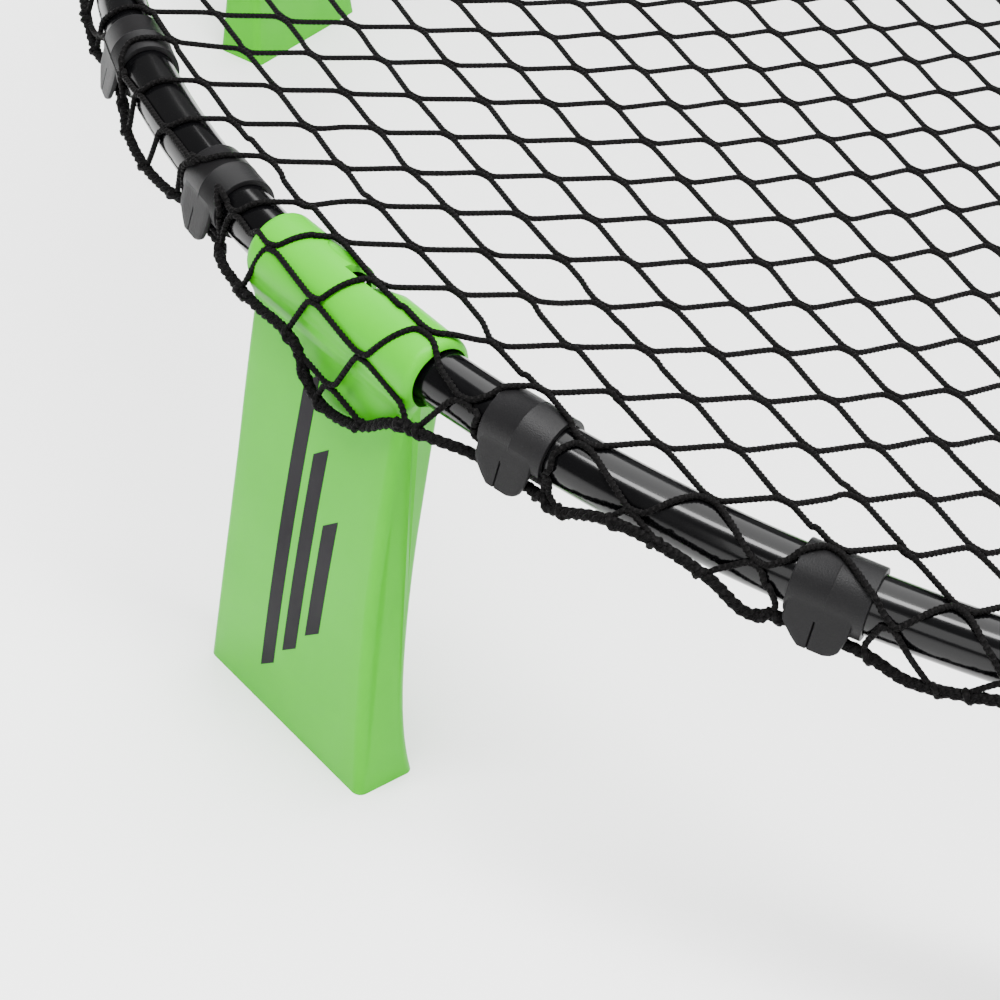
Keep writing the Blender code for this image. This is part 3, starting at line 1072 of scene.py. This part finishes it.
@dataclass
class FoldingLeg:
    """A leg: a hollow moulding that hangs from its collar on the tube."""

    ring: Ring
    foot_width: float = 0.0900
    waist_width: float = 0.0786
    flare_height: float = 0.110
    face_setback: float = 0.0082
    face_bow: float = 0.0026
    inner_waist: float = 0.0070
    inner_flare: float = 0.0107
    inner_flare_height: float = 0.034
    edge_round: float = 0.0036
    collar_length: float = 0.0850
    collar_radius: float = 0.0135
    collar_inset: float = 0.0010
    bore_radius: float = 0.0109
    outer_fillet: float = 0.0070
    inner_fillet: float = 0.0110
    wall: float = 0.0026
    pocket_height: float = 0.148
    window_half_width: float = 0.0050
    window_angles: tuple[float, float] = (radians(-5.5), radians(104))
    ramp_reach: float = 0.0085
    scoop_along: float = -0.0085
    scoop_middle: Place = (0.0, 0.0008, 0.0148)
    scoop_size: Place = (0.0105, 0.0030, 0.0026)

    def half_width(self, height: Array) -> Array:
        """Half of the leg's width at heights above the ground."""
        share = np.clip(1 - np.maximum(height, 0.0) / self.flare_height, 0.0, 1.0)
        leg = (self.waist_width + (self.foot_width - self.waist_width) * share**1.6) / 2
        collar_from = self.ring.height - self.collar_radius - 0.004
        into_collar = smooth_step(collar_from, collar_from + 0.010, height)
        return leg + (self.collar_length / 2 - leg) * into_collar

    def face(self, height: Array) -> Array:
        """How far the broad face stands outwards of the ring's centre line."""
        middle = self.ring.height * 0.56
        return self.face_setback + self.face_bow * (1 - ((height - middle) / middle) ** 2)

    def back(self, height: Array) -> Array:
        """How far the inner face stands inwards of the ring's centre line."""
        fade = np.exp(-np.maximum(height, 0.0) / self.inner_flare_height)
        return self.inner_waist + self.inner_flare * fade

    def outline(self) -> tuple[Array, Array, Array]:
        """The leg's side view: heights, with its outer and its inner side inwards of the centre line."""
        axis = self.ring.height
        turn = np.radians(np.linspace(6, 180, 34))
        body = np.linspace(0.0, axis - self.collar_radius - 0.0006, 44)
        heights = np.concatenate([body, axis - self.collar_radius * np.cos(turn)])
        half = np.sqrt(np.maximum(self.collar_radius**2 - (heights - axis) ** 2, 0.0))
        past = np.maximum(0.0, heights - (axis - 0.0085))
        fade = 400 * past**2
        outer = soft_max(self.face(heights) - fade, half - self.collar_inset, self.outer_fillet)
        inner = soft_max(self.back(heights) - fade, half + self.collar_inset, self.inner_fillet)
        inner[-1], outer[-1] = self.collar_inset, -self.collar_inset
        return heights, -outer, inner

    def body_mesh(self) -> bpy.types.Mesh:
        """The leg and its collar as one rounded solid, at the first leg's place."""
        heights, outer, inner = self.outline()
        side = np.concatenate([np.stack([outer, heights], -1), np.stack([inner, heights], -1)[-2::-1]])
        slope = np.gradient(side, axis=0)
        normal = np.stack([-slope[:, 1], slope[:, 0]], -1)
        order = np.arange(len(side))
        on_ground = heights[np.minimum(order, order[::-1])] < 1e-6
        normal[on_ground, 1] = 0.0
        normal /= np.linalg.norm(normal, axis=1)[:, None]
        width = self.half_width(side[:, 1])
        round_turn = np.radians(np.linspace(0, 90, 8))
        stations = [(-1, turn) for turn in round_turn[::-1]] + [(1, turn) for turn in round_turn]
        rows = []
        for way, turn in stations:
            inset = self.edge_round * (1 - cos(turn))
            across = way * (width - self.edge_round + self.edge_round * sin(turn))
            moved = side - normal * inset
            rows.append(np.stack([across, moved[:, 0] - self.ring.radius, moved[:, 1]], -1))
        for step in range(1, 12):
            share = 1 - step / 6
            across = -share * (width - self.edge_round)
            row = np.stack([across, side[:, 0] - self.ring.radius, side[:, 1]], -1)
            rows.insert(len(round_turn) + step - 1, row)
        mesh = grid_mesh("leg_blank", np.array(rows), caps=False)
        self.close_ends(mesh)
        return mesh

    def close_ends(self, mesh: bpy.types.Mesh) -> None:
        """Fills the leg's two side faces.

        Args:
            mesh: The open skin, which is changed.
        """
        work = bmesh.new()
        work.from_mesh(mesh)
        rim = [edge for edge in work.edges if edge.is_boundary]
        bmesh.ops.holes_fill(work, edges=rim, sides=0)
        bmesh.ops.recalc_face_normals(work, faces=work.faces)
        work.to_mesh(mesh)
        work.free()

    def bore_mesh(self) -> bpy.types.Mesh:
        """The cutter for the tube's bore."""
        axis = self.ring.place(0.0) @ Matrix.Translation((0, self.collar_inset, 0))
        reach = self.collar_length
        profile = [(-reach, 0.0), (-reach, self.bore_radius), (reach, self.bore_radius), (reach, 0.0)]
        return lathe("bore", profile, 64, axis)

    def window_mesh(self) -> bpy.types.Mesh:
        """The cutter for the stop's window, which ramps up on its right side."""
        inner, outer = self.bore_radius, self.collar_radius
        ramp = []
        for reach in (inner * 0.75, inner + 0.0004, outer, outer * 1.25):
            rise = max(0.0, reach - inner) / (outer - inner)
            ramp.append((reach, self.window_half_width + self.ramp_reach * min(rise, 2.0) ** 1.4))
        steep = [(reach, -self.window_half_width - 0.0006 * step) for step, (reach, _) in enumerate(ramp)]
        loop = steep + ramp[::-1]
        middle = -self.ring.radius + self.collar_inset
        rows = [
            [(x, middle + reach * sin(angle), self.ring.height + reach * cos(angle)) for reach, x in loop]
            for angle in np.linspace(*self.window_angles, 26)
        ]
        return grid_mesh("window", np.array(rows))

    def scoop_mesh(self) -> bpy.types.Mesh:
        """The cutter for the shallow scoop beside the window."""
        tilt = Matrix.Rotation(radians(-12), 4, "X") @ Matrix.Rotation(radians(-7), 4, "Y")
        place = self.ring.place(0.0) @ Matrix.Translation((self.scoop_along, self.collar_inset, 0)) @ tilt
        work = bmesh.new()
        bmesh.ops.create_uvsphere(work, u_segments=32, v_segments=20, radius=1.0)
        mesh = bpy.data.meshes.new("scoop")
        work.to_mesh(mesh)
        work.free()
        place = place @ Matrix.Translation(self.scoop_middle)
        mesh.transform(place @ Matrix.Diagonal((*self.scoop_size, 1.0)))
        return mesh

    def pocket_mesh(self, way: int) -> bpy.types.Mesh:
        """The cutter for one of the two pockets under the foot; way is -1 or 1."""
        heights = np.linspace(-0.004, self.pocket_height, 16)
        rows = []
        for height in heights:
            near, far = self.wall / 2, float(self.half_width(max(height, 0.0))) - self.wall
            front = self.wall - float(self.face(height))
            rear = float(self.back(height)) - self.wall
            corners = [(near, front), (far, front), (far, rear), (near, rear)]
            rows.append([(way * x, y - self.ring.radius, height) for x, y in corners])
        return grid_mesh("pocket", np.array(rows))

    def build(self, plastic: bpy.types.Material) -> None:
        """Makes the legs and puts each on its own body."""
        cutters = [self.bore_mesh(), self.window_mesh(), self.scoop_mesh()]
        cutters += [self.pocket_mesh(way) for way in (-1, 1)]
        first = tidied(carved(self.body_mesh(), cutters), radians(28))
        for number in range(1, self.ring.sections + 1):
            mesh = first.copy()
            mesh.transform(Matrix.Rotation(self.ring.section_turn(number), 4, "Z"))
            leg = linked(f"folding_leg_{number}", mesh)
            leg.data.materials.append(plastic)
            fit(leg, f"leg_{number}", [f"leg_{number}"])


@dataclass
class LegMark:
    """A printed mark of three slanted bars on a leg's broad face."""

    leg: FoldingLeg
    width: float = 0.0068
    slant: float = 0.0065
    lean: float = 0.05
    print_height: float = 0.00012
    bars: tuple[Place, ...] = (
        (-0.0150, 0.018, 0.150),
        (-0.0045, 0.034, 0.126),
        (0.0060, 0.050, 0.102),
    )

    def bar_mesh(self, left: float, low: float, high: float) -> bpy.types.Mesh:
        """One bar.

        Args:
            left: Its left edge at the leg's foot.
            low: The height of its lower end at that edge.
            high: The height of its upper end at that edge.

        Returns:
            A thin closed slab on the face.
        """
        rows = []
        for share in np.linspace(0, 1, 24):
            ring = []
            for lift in (0.0, self.print_height):
                edge = []
                for step in np.linspace(0, 1, 5):
                    height = low + (high - low) * share + self.slant * step
                    across = left + self.lean * height + self.width * step
                    out = float(self.leg.face(height)) + lift - 0.00004
                    edge.append((across, -self.leg.ring.radius - out, height))
                ring += edge if lift == 0.0 else edge[::-1]
            rows.append(ring)
        return grid_mesh("bar", np.array(rows))

    def build(self, ink: bpy.types.Material) -> None:
        """Prints the mark on every leg."""
        for number in range(1, self.leg.ring.sections + 1):
            mesh = joined(f"leg_mark_{number}", [self.bar_mesh(*bar) for bar in self.bars])
            mesh.transform(Matrix.Rotation(self.leg.ring.section_turn(number), 4, "Z"))
            mark = linked(f"leg_mark_{number}", mesh)
            mark.data.materials.append(ink)
            fit(mark, f"leg_{number}", [])


@dataclass
class StopButton:
    """The steel button in the tube that stands in the window of a leg's collar."""

    ring: Ring
    lean: float = radians(9.5)
    head_radius: float = 0.0016
    head_height: float = 0.0022
    shank_radius: float = 0.0011
    shank_depth: float = 0.0030
    clearance: float = 0.0003

    def mesh(self) -> bpy.types.Mesh:
        """One button, at the first leg."""
        base = self.ring.tube_radius + self.clearance
        top = base + self.head_height
        dome = [
            (base + self.head_height * (0.6 + 0.4 * sin(turn)), self.head_radius * cos(turn))
            for turn in np.radians([0, 25, 50, 72])
        ]
        profile = [(top, 0.0), *reversed(dome), (base, self.head_radius), (base, self.shank_radius)]
        profile += [(base - self.shank_depth, self.shank_radius), (base - self.shank_depth, 0.0)]
        place = self.ring.place(0.0) @ Matrix.Rotation(-self.lean, 4, "X") @ Matrix.Rotation(-pi / 2, 4, "Y")
        return lathe("leg_stops", profile, 28, place)

    def build(self, steel: bpy.types.Material) -> None:
        """Makes the buttons and puts them on the frame."""
        stops = RingCopies(self.ring, (0.0,)).copy("leg_stops", self.mesh(), steel)
        nodes = [f"leg_stop_{number}" for number in range(1, self.ring.sections + 1)]
        fit(stops, RING_BODY, nodes)


@dataclass
class EdgeRope:
    """The rope along the net's edge: three strands twisted together, held behind the hooks' tongues.

    The routes are places on the ring: along, out and up. Over the leg, the first is a distance from the
    middle of the leg, and between two hooks elsewhere it is a share of the way from one to the next.
    """

    ring: Ring
    radius: float = 0.0022
    seat: tuple[float, float] = (0.00895, -0.01083)
    seat_half: float = 0.013
    before_leg: tuple[Place, ...] = (
        (0.28, 0.0115, -0.0130),
        (0.50, 0.0122, -0.0142),
        (0.72, 0.0112, -0.0125),
    )
    over_leg: tuple[Place, ...] = (
        (-0.054, 0.0140, -0.0105),
        (-0.043, 0.0150, -0.0115),
        (-0.030, 0.0152, -0.0120),
        (-0.017, 0.0152, -0.0112),
        (-0.009, 0.0150, -0.0130),
        (-0.005, 0.0142, -0.0190),
        (0.000, 0.0138, -0.0258),
        (0.008, 0.0138, -0.0285),
        (0.018, 0.0138, -0.0272),
        (0.027, 0.0140, -0.0228),
        (0.035, 0.0146, -0.0160),
        (0.044, 0.0150, -0.0112),
        (0.053, 0.0144, -0.0100),
    )
    past_leg: tuple[Place, ...] = (
        (0.18, 0.0106, -0.0115),
        (0.34, 0.0132, -0.0030),
        (0.50, 0.0134, -0.0015),
        (0.68, 0.0130, -0.0050),
        (0.80, 0.0110, -0.0125),
    )
    to_next: tuple[Place, ...] = (
        (0.14, 0.0112, -0.0130),
        (0.28, 0.0130, -0.0060),
        (0.42, 0.0134, -0.0030),
        (0.56, 0.0118, -0.0120),
        (0.72, 0.0130, -0.0055),
        (0.86, 0.0112, -0.0125),
    )
    strands: int = 3
    twist_pitch: float = 0.0100
    strand_offset: float = 0.00088
    strand_radius: float = 0.00108
    stitch: float = 0.0009
    swell: float = 0.20
    sides: int = 6
    path_step: float = 0.0012
    path: Array = field(init=False)
    along: Array = field(init=False)
    out: Array = field(init=False)
    up: Array = field(init=False)

    def __post_init__(self) -> None:
        """Works out the rope's smooth path."""
        places = np.array(self.route())
        points = self.ring.points(places[:, 0], places[:, 1], places[:, 2])
        self.path = smooth_path(points, self.path_step, closed=True)
        reach = np.hypot(self.path[:, 0], self.path[:, 1])
        angle = np.arctan2(self.path[:, 0], -self.path[:, 1]) % (2 * pi)
        order = np.argsort(angle)
        self.along = angle[order] * self.ring.radius
        self.out = (reach - self.ring.radius)[order]
        self.up = (self.path[:, 2] - self.ring.height)[order]

    def route(self) -> list[Place]:
        """The rope's places round the whole ring."""
        hooks, whole = self.ring.hook_places, self.ring.section_length
        following = (*hooks[1:], hooks[0] + whole)
        between = (self.before_leg, self.over_leg, self.past_leg, self.to_next)
        one: list[Place] = []
        for hook, next_hook, places in zip(hooks, following, between):
            one += [(hook - self.seat_half, *self.seat), (hook + self.seat_half, *self.seat)]
            if places is self.over_leg:
                one += places
            else:
                one += [(hook + (next_hook - hook) * share, out, up) for share, out, up in places]
        return [(a + whole * number, out, up) for number in range(self.ring.sections) for a, out, up in one]

    def at(self, along: Array) -> tuple[Array, Array]:
        """The rope's out and up at distances along the ring."""
        whole = 2 * pi * self.ring.radius
        along = np.asarray(along, float) % whole
        out = np.interp(along, self.along, self.out, period=whole)
        return out, np.interp(along, self.along, self.up, period=whole)

    def strand_paths(self) -> list[Array]:
        """The twisted strands' own paths."""
        ahead = np.roll(self.path, -1, axis=0) - np.roll(self.path, 1, axis=0)
        tangent = ahead / np.linalg.norm(ahead, axis=1)[:, None]
        side = np.cross(tangent, (0.0, 0.0, 1.0))
        side /= np.linalg.norm(side, axis=1)[:, None]
        top = np.cross(side, tangent)
        steps = np.linalg.norm(np.roll(self.path, -1, axis=0) - self.path, axis=1)
        way = np.concatenate([[0.0], np.cumsum(steps)[:-1]])
        turns = round(float(steps.sum()) / self.twist_pitch)
        paths = []
        for strand in range(self.strands):
            angle = 2 * pi * (way / float(steps.sum()) * turns + strand / self.strands)
            offset = side * np.cos(angle)[:, None] + top * np.sin(angle)[:, None]
            path = self.path + self.strand_offset * offset
            paths.append(np.concatenate([path, path[:2]]))
        return paths

    def build(self, sweep: CordSweep, cord: bpy.types.Material) -> None:
        """Makes the rope and puts it on the frame."""
        laid = (self.strand_radius, self.stitch, self.swell, self.sides)
        rope = sweep.sweep("net_edge_rope", self.strand_paths(), *laid, cord)
        fit(rope, RING_BODY, ["edge_rope"])


@dataclass
class Netting:
    """The net: knotless netting, pulled flat over the ring and down its outer side to the edge rope.

    The mesh repeats by a row step and a column step. Two cords run side by side through each join, and
    each cord leaves it for the next row and the next column by turns.
    """

    ring: Ring
    rope: EdgeRope
    hook: NetHook
    leg: FoldingLeg
    first_join: tuple[float, float] = (0.0552, -0.3193)
    row_step: tuple[float, float] = (0.01013, 0.02060)
    column_step: tuple[float, float] = (0.02544, -0.00632)
    row_bend: tuple[float, float] = (-0.00051, 0.00004)
    skew_bend: tuple[float, float] = (-0.00027, -0.00023)
    column_bend: tuple[float, float] = (-0.00008, 0.00010)
    bend_reach: float = 8.0
    join_length: float = 0.0052
    join_slope: float = 0.20
    cord_radius: float = 0.00094
    join_spread: float = 0.00084
    bend_radius: float = 0.0011
    flat_height: float = 0.0100
    settle: float = 0.040
    gathers: tuple[float, ...] = (
        *(-0.248, -0.196, -0.164, -0.128, -0.103, -0.064),
        *(0.088, 0.147, 0.168, 0.198, 0.262),
    )
    gather_reach: float = 0.011
    gather_pull: float = 0.80
    tongue_guard: float = 0.0015
    shortest_run: int = 5
    wrap_turns: float = 0.55
    wrap_pitch: float = 0.0060
    stitch: float = 0.0008
    swell: float = 0.24
    sides: int = 6
    path_step: float = 0.0014
    join_unevenness: float = 0.00025
    slope_unevenness: float = 0.10
    bands: int = 6
    reach_count: int = 64
    joins_each_way: int = 46
    seed: int = 7

    def joins(self, row: Array, column: Array) -> Array:
        """Where the net's joins lie in the flat net.

        Args:
            row: Their row numbers.
            column: Their column numbers.

        Returns:
            Flat points, one row each.
        """
        bent_row = self.bend_reach * np.tanh(row / self.bend_reach)
        bent_column = self.bend_reach * np.tanh(column / self.bend_reach)
        terms = (
            (np.ones_like(row), self.first_join),
            (row, self.row_step),
            (column, self.column_step),
            (bent_row**2, self.row_bend),
            (bent_row * bent_column, self.skew_bend),
            (bent_column**2, self.column_bend),
        )
        return sum(np.asarray(amount, float)[:, None] * np.array(step) for amount, step in terms)

    def flat_chain(self, chain: int, rng: np.random.Generator) -> Array:
        """One cord's route in the flat net.

        Args:
            chain: The cord's number.
            rng: Where small unevenness comes from.

        Returns:
            Flat points through its joins.
        """
        count = np.arange(-self.joins_each_way, self.joins_each_way + 1)
        row = np.stack([count + chain, count + chain + 1], -1).reshape(-1).astype(float)
        column = np.repeat(count, 2).astype(float)
        side = np.tile([1.0, -1.0], len(count))
        middle = self.joins(row, column) + rng.normal(0.0, self.join_unevenness, (len(row), 2))
        angle = self.join_slope + rng.normal(0.0, self.slope_unevenness, len(row))
        way = np.stack([np.cos(angle), np.sin(angle)], -1)
        across = np.stack([-way[:, 1], way[:, 0]], -1) * (side * self.join_spread)[:, None]
        half = way * self.join_length / 2
        corners = np.stack([middle - half, middle + half], 1).reshape(-1, 2) + np.repeat(across, 2, axis=0)
        ahead = np.diff(corners, axis=0)
        ahead /= np.linalg.norm(ahead, axis=1)[:, None]
        before = corners[1:] - ahead * self.bend_radius
        after = corners[:-1] + ahead * self.bend_radius
        return np.stack([after, before], 1).reshape(-1, 2)

    def support(self, along: Array) -> tuple[Array, Array]:
        """What the net lies on at places along the ring: the radius to the cord's middle, and its inset."""
        place = self.ring.within_section(along)
        radius = np.full_like(place, self.ring.tube_radius)
        inset = np.zeros_like(place)
        half = self.hook.length / 2
        for hook in (*self.ring.hook_places, self.ring.hook_places[0] + self.ring.section_length):
            share = 1 - smooth_step(half - 0.0002, half + 0.0022, np.abs(place - hook))
            radius += share * (self.hook.outer - self.ring.tube_radius)
        half = self.leg.collar_length / 2
        share = 1 - smooth_step(half - 0.0035, half + 0.004, np.abs(place))
        radius += share * (self.leg.collar_radius - self.ring.tube_radius)
        inset += share * self.leg.collar_inset
        return radius + self.cord_radius, inset

    def hooks_around(self) -> list[float]:
        """The hooks' places in a section, with the nearest one of each neighbour."""
        places, whole = self.ring.hook_places, self.ring.section_length
        return [places[-1] - whole, *places, places[0] + whole]

    def gathered(self, along: Array, depth: Array) -> Array:
        """Places along the ring once the cords are drawn together beside the hooks and along the rope.

        Args:
            along: Places along the ring.
            depth: How far down the outer side, from 0 at the ring's crest to 1 at the rope.

        Returns:
            The new places.
        """
        place = self.ring.within_section(along)
        middle = along - place
        pull = smooth_step(0.25, 1.0, depth) * self.gather_pull
        away = np.array(self.gathers)[:, None] - place
        place = place + (away * pull * np.exp(-((away / self.gather_reach) ** 2))).sum(axis=0)
        clear = (self.hook.length / 2 + 0.0016) * smooth_step(0.05, 0.55, depth)
        for hook in self.hooks_around():
            away = place - hook
            pushed = np.copysign((np.abs(away) ** 3 + clear**3) ** (1 / 3), away)
            place = np.where(np.abs(away) < 3 * self.hook.length, hook + pushed, place)
        return middle + place

    def depth(self, flat: Array) -> tuple[Array, Array, Array]:
        """How far over the ring flat points are.

        Args:
            flat: Flat points.

        Returns:
            Their places along the ring, how far past the crest they are, and how far past the rope.
        """
        over = np.hypot(flat[:, 0], flat[:, 1]) - self.ring.radius
        along = np.arctan2(flat[:, 0], -flat[:, 1]) * self.ring.radius
        return along, over, over - self.drape(*self.support(along), *self.rope.at(along))[2]

    def runs(self, flat: Array) -> list[Array]:
        """The stretches of a flat cord that reach the rope at both ends without crossing a tongue.

        Args:
            flat: The cord's flat points.

        Returns:
            The stretches, each carried on straight outwards where a hook ends it.
        """
        along, over, past = self.depth(flat)
        place = self.ring.within_section(along)
        at_hook = np.min([np.abs(place - hook) for hook in self.hooks_around()], axis=0) < self.tongue_guard
        keep = (past < 0.0) & ~((over > 0.05 * (over - past)) & at_hook)
        marks = np.flatnonzero(np.diff(np.concatenate([[False], keep, [False]]).astype(int)))
        found = []
        for start, end in zip(marks[::2], marks[1::2]):
            if end - start < self.shortest_run:
                continue
            stretch = flat[start:end]
            tails = []
            for tip, gap in ((stretch[0], -past[start]), (stretch[-1], -past[end - 1])):
                reach = np.arange(self.path_step, gap, self.path_step)[:, None]
                tails.append(tip + tip / np.linalg.norm(tip) * reach)
            found.append(np.concatenate([tails[0][::-1], stretch, tails[1]]))
        return found

    def laid(self, flat: Array) -> Array:
        """Flat points where they lie on the ring.

        Args:
            flat: Flat points.

        Returns:
            The points.
        """
        along, over, past = self.depth(flat)
        along = self.gathered(along, np.clip(over / (over - past), 0.0, 1.0))
        radius, inset = self.support(along)
        rope_out, rope_up = self.rope.at(along)
        turn_end, straight, whole = self.drape(radius, inset, rope_out, rope_up)
        over = np.where(over > 0, over * whole / np.maximum(over - past, 1e-6), over)
        turn = np.clip(over / radius, 0.0, turn_end)
        share = np.clip((over - radius * turn_end) / straight, 0.0, 1.0)
        out = radius * np.sin(turn) - inset
        up = radius * np.cos(turn)
        out = out + (rope_out - out) * share
        up = up + (rope_up - up) * share
        crest_share = np.exp(-np.maximum(-over, 0.0) / self.settle)
        out = np.where(over < 0, over, out)
        up = np.where(over < 0, self.flat_height + (radius - self.flat_height) * crest_share, up)
        return self.ring.points(along, out, up)

    def drape(
        self, radius: Array, inset: Array, rope_out: Array, rope_up: Array
    ) -> tuple[Array, Array, Array]:
        """How the net goes from the crest to the rope.

        Args:
            radius: The radius that it lies on.
            inset: How far inwards that radius has its centre.
            rope_out: The rope's distance outwards.
            rope_up: The rope's height.

        Returns:
            The angle where it leaves the round, the straight length from there, and the whole length.
        """
        out = rope_out + inset
        distance = np.maximum(np.hypot(out, rope_up), radius * 1.02)
        turn_end = np.arctan2(out, rope_up) - np.arccos(np.clip(radius / distance, -1.0, 1.0))
        straight = np.sqrt(distance**2 - radius**2)
        return turn_end, straight, radius * turn_end + straight

    def wrap(self, end: Array, rng: np.random.Generator) -> Array:
        """A cord's end wound round the rope.

        Args:
            end: The cord's last point at the rope.
            rng: Where small unevenness comes from.

        Returns:
            The turns' points.
        """
        along = atan2(end[0], -end[1]) % (2 * pi) * self.ring.radius
        turn = np.linspace(0.0, self.wrap_turns * 2 * pi, 10)
        way = rng.choice([-1.0, 1.0])
        places = along + way * self.wrap_pitch * turn / (2 * pi)
        out, up = self.rope.at(places)
        reach = self.rope.radius * 0.95 - self.cord_radius * 0.5 * turn / turn[-1]
        return self.ring.points(places, out + reach * np.sin(turn), up + reach * np.cos(turn))

    def cords(self) -> list[Array]:
        """Every cord's path, wound round the rope at both ends."""
        rng = np.random.default_rng(self.seed)
        paths = []
        for chain in range(-self.reach_count, self.reach_count + 1):
            for stretch in self.runs(smooth_path(self.flat_chain(chain, rng), self.path_step)):
                run = self.laid(stretch)
                paths.append(np.concatenate([self.wrap(run[0], rng)[::-1], run, self.wrap(run[-1], rng)]))
        return paths

    def build(self, sweep: CordSweep, cord: bpy.types.Material) -> None:
        """Makes the net in bands of neighbouring cords and puts them on the frame."""
        paths = self.cords()
        lengths = np.array([np.linalg.norm(np.diff(path, axis=0), axis=1).sum() for path in paths])
        LOG.info("net: %d cords, %.1f m", len(paths), lengths.sum())
        share = (np.cumsum(lengths) - lengths / 2) / lengths.sum()
        band = np.minimum(share * self.bands, self.bands - 1).astype(int)
        laid = (self.cord_radius, self.stitch, self.swell, self.sides)
        for number in range(self.bands):
            chosen = [path for path, where in zip(paths, band) if where == number]
            name = f"net_band_{number + 1}"
            piece = sweep.sweep(name, chosen, *laid, cord)
            fit(piece, RING_BODY, ["net"] if number == 0 else [])


def fit(piece: bpy.types.Object, body: str, nodes: Sequence[str]) -> None:
    """Puts a finished piece on a body of the frame and reports it.

    Args:
        piece: The piece.
        body: The body that it moves with.
        nodes: The frame's nodes that it stands for.
    """
    if nodes:
        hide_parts(*nodes)
    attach(piece, body)
    LOG.info("%s on %s: %d faces", piece.name, body, len(piece.data.polygons))


# Studio


@dataclass(frozen=True)
class SoftBox:
    """A rectangular soft light: where it hangs, what it is aimed at, its size and its power."""

    name: str
    place: Place
    target: Place
    size: tuple[float, float]
    power: float

    def build(self) -> None:
        """Hangs the light."""
        data = bpy.data.lights.new(self.name, "AREA")
        data.shape = "RECTANGLE"
        data.size, data.size_y = self.size
        data.energy = self.power
        light = bpy.data.objects.new(self.name, data)
        bpy.context.scene.collection.objects.link(light)
        turn = (Vector(self.target) - Vector(self.place)).to_track_quat("-Z", "Y")
        light.matrix_world = Matrix.Translation(self.place) @ turn.to_matrix().to_4x4()


@dataclass
class Studio:
    """A pale floor, soft light and the camera."""

    floor_size: float = 12.0
    floor_colour: Colour = (0.93, 0.93, 0.93)
    sky: float = 0.30
    camera_at: Place = (0.4639, -0.8720, 0.6019)
    heading: float = 2.3137
    pitch: float = 0.6612
    roll: float = 0.1867
    lens: float = 85.06
    shift: tuple[float, float] = (0.0025, -0.0040)
    lights: tuple[SoftBox, ...] = (
        SoftBox("top_box", (0.39, -0.79, 2.13), (0.10, -0.45, 0.18), (2.4, 0.42), 150.0),
        SoftBox("wide_box", (-0.6, 0.9, 3.4), (0.0, 0.0, 0.1), (4.0, 4.0), 330.0),
        SoftBox("front_box", (1.2, -2.6, 1.2), (0.0, -0.35, 0.1), (1.8, 1.4), 34.0),
        SoftBox("side_box", (2.6, 0.4, 1.3), (0.1, -0.2, 0.1), (1.6, 1.2), 16.0),
    )

    def build_camera(self) -> None:
        """Makes the camera and looks through it."""
        level_reach = cos(self.pitch)
        forward = Vector(
            (cos(self.heading) * level_reach, sin(self.heading) * level_reach, -sin(self.pitch))
        )
        level = Vector((sin(self.heading), -cos(self.heading), 0.0))
        upward = level.cross(forward)
        right = level * cos(self.roll) + upward * sin(self.roll)
        top = upward * cos(self.roll) - level * sin(self.roll)
        data = bpy.data.cameras.new("camera")
        data.lens = self.lens
        data.sensor_width = 36.0
        data.shift_x, data.shift_y = self.shift
        data.clip_start = 0.01
        camera = bpy.data.objects.new("camera", data)
        bpy.context.scene.collection.objects.link(camera)
        turn = Matrix((right, top, -forward)).transposed().to_4x4()
        camera.matrix_world = Matrix.Translation(self.camera_at) @ turn
        bpy.context.scene.camera = camera

    def build_floor(self) -> None:
        """Lays the floor."""
        work = bmesh.new()
        bmesh.ops.create_grid(work, x_segments=1, y_segments=1, size=self.floor_size / 2)
        mesh = bpy.data.meshes.new("floor")
        work.to_mesh(mesh)
        work.free()
        floor = linked("floor", mesh)
        material = bpy.data.materials.new("floor_paper")
        material.use_nodes = True
        shader = material.node_tree.nodes["Principled BSDF"]
        shader.inputs["Base Color"].default_value = (*self.floor_colour, 1.0)
        shader.inputs["Roughness"].default_value = 0.9
        shader.inputs["Specular IOR Level"].default_value = 0.1
        floor.data.materials.append(material)

    def build_lights(self) -> None:
        """Hangs the soft boxes and sets the sky."""
        for box in self.lights:
            box.build()
        world = bpy.data.worlds.new("studio")
        world.use_nodes = True
        world.node_tree.nodes["Background"].inputs["Color"].default_value = (1.0, 1.0, 1.0, 1.0)
        world.node_tree.nodes["Background"].inputs["Strength"].default_value = self.sky
        bpy.context.scene.world = world

    def build(self) -> None:
        """Makes the whole studio."""
        self.build_camera()
        self.build_floor()
        self.build_lights()


def main() -> None:
    """Builds every sub-assembly round the frame."""
    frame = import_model()
    ring = Ring()
    ring.check(frame)
    shop = Workshop()
    sweep = CordSweep()
    Studio().build()
    leg, hook, rope = FoldingLeg(ring), NetHook(ring), EdgeRope(ring)
    RimTube(ring).build(TUBE_ENAMEL.material(shop))
    hook.build(HOOK_PLASTIC.material(shop))
    leg.build(GREEN_PLASTIC.material(shop))
    LegMark(leg).build(MARK_INK.material(shop))
    StopButton(ring).build(STOP_STEEL.material(shop))
    rope.build(sweep, ROPE_CORD.material(shop))
    Netting(ring, rope, hook, leg).build(sweep, NET_CORD.material(shop))


if __name__ == "__main__":
    logging.basicConfig(level=logging.INFO, format="%(message)s")
    main()
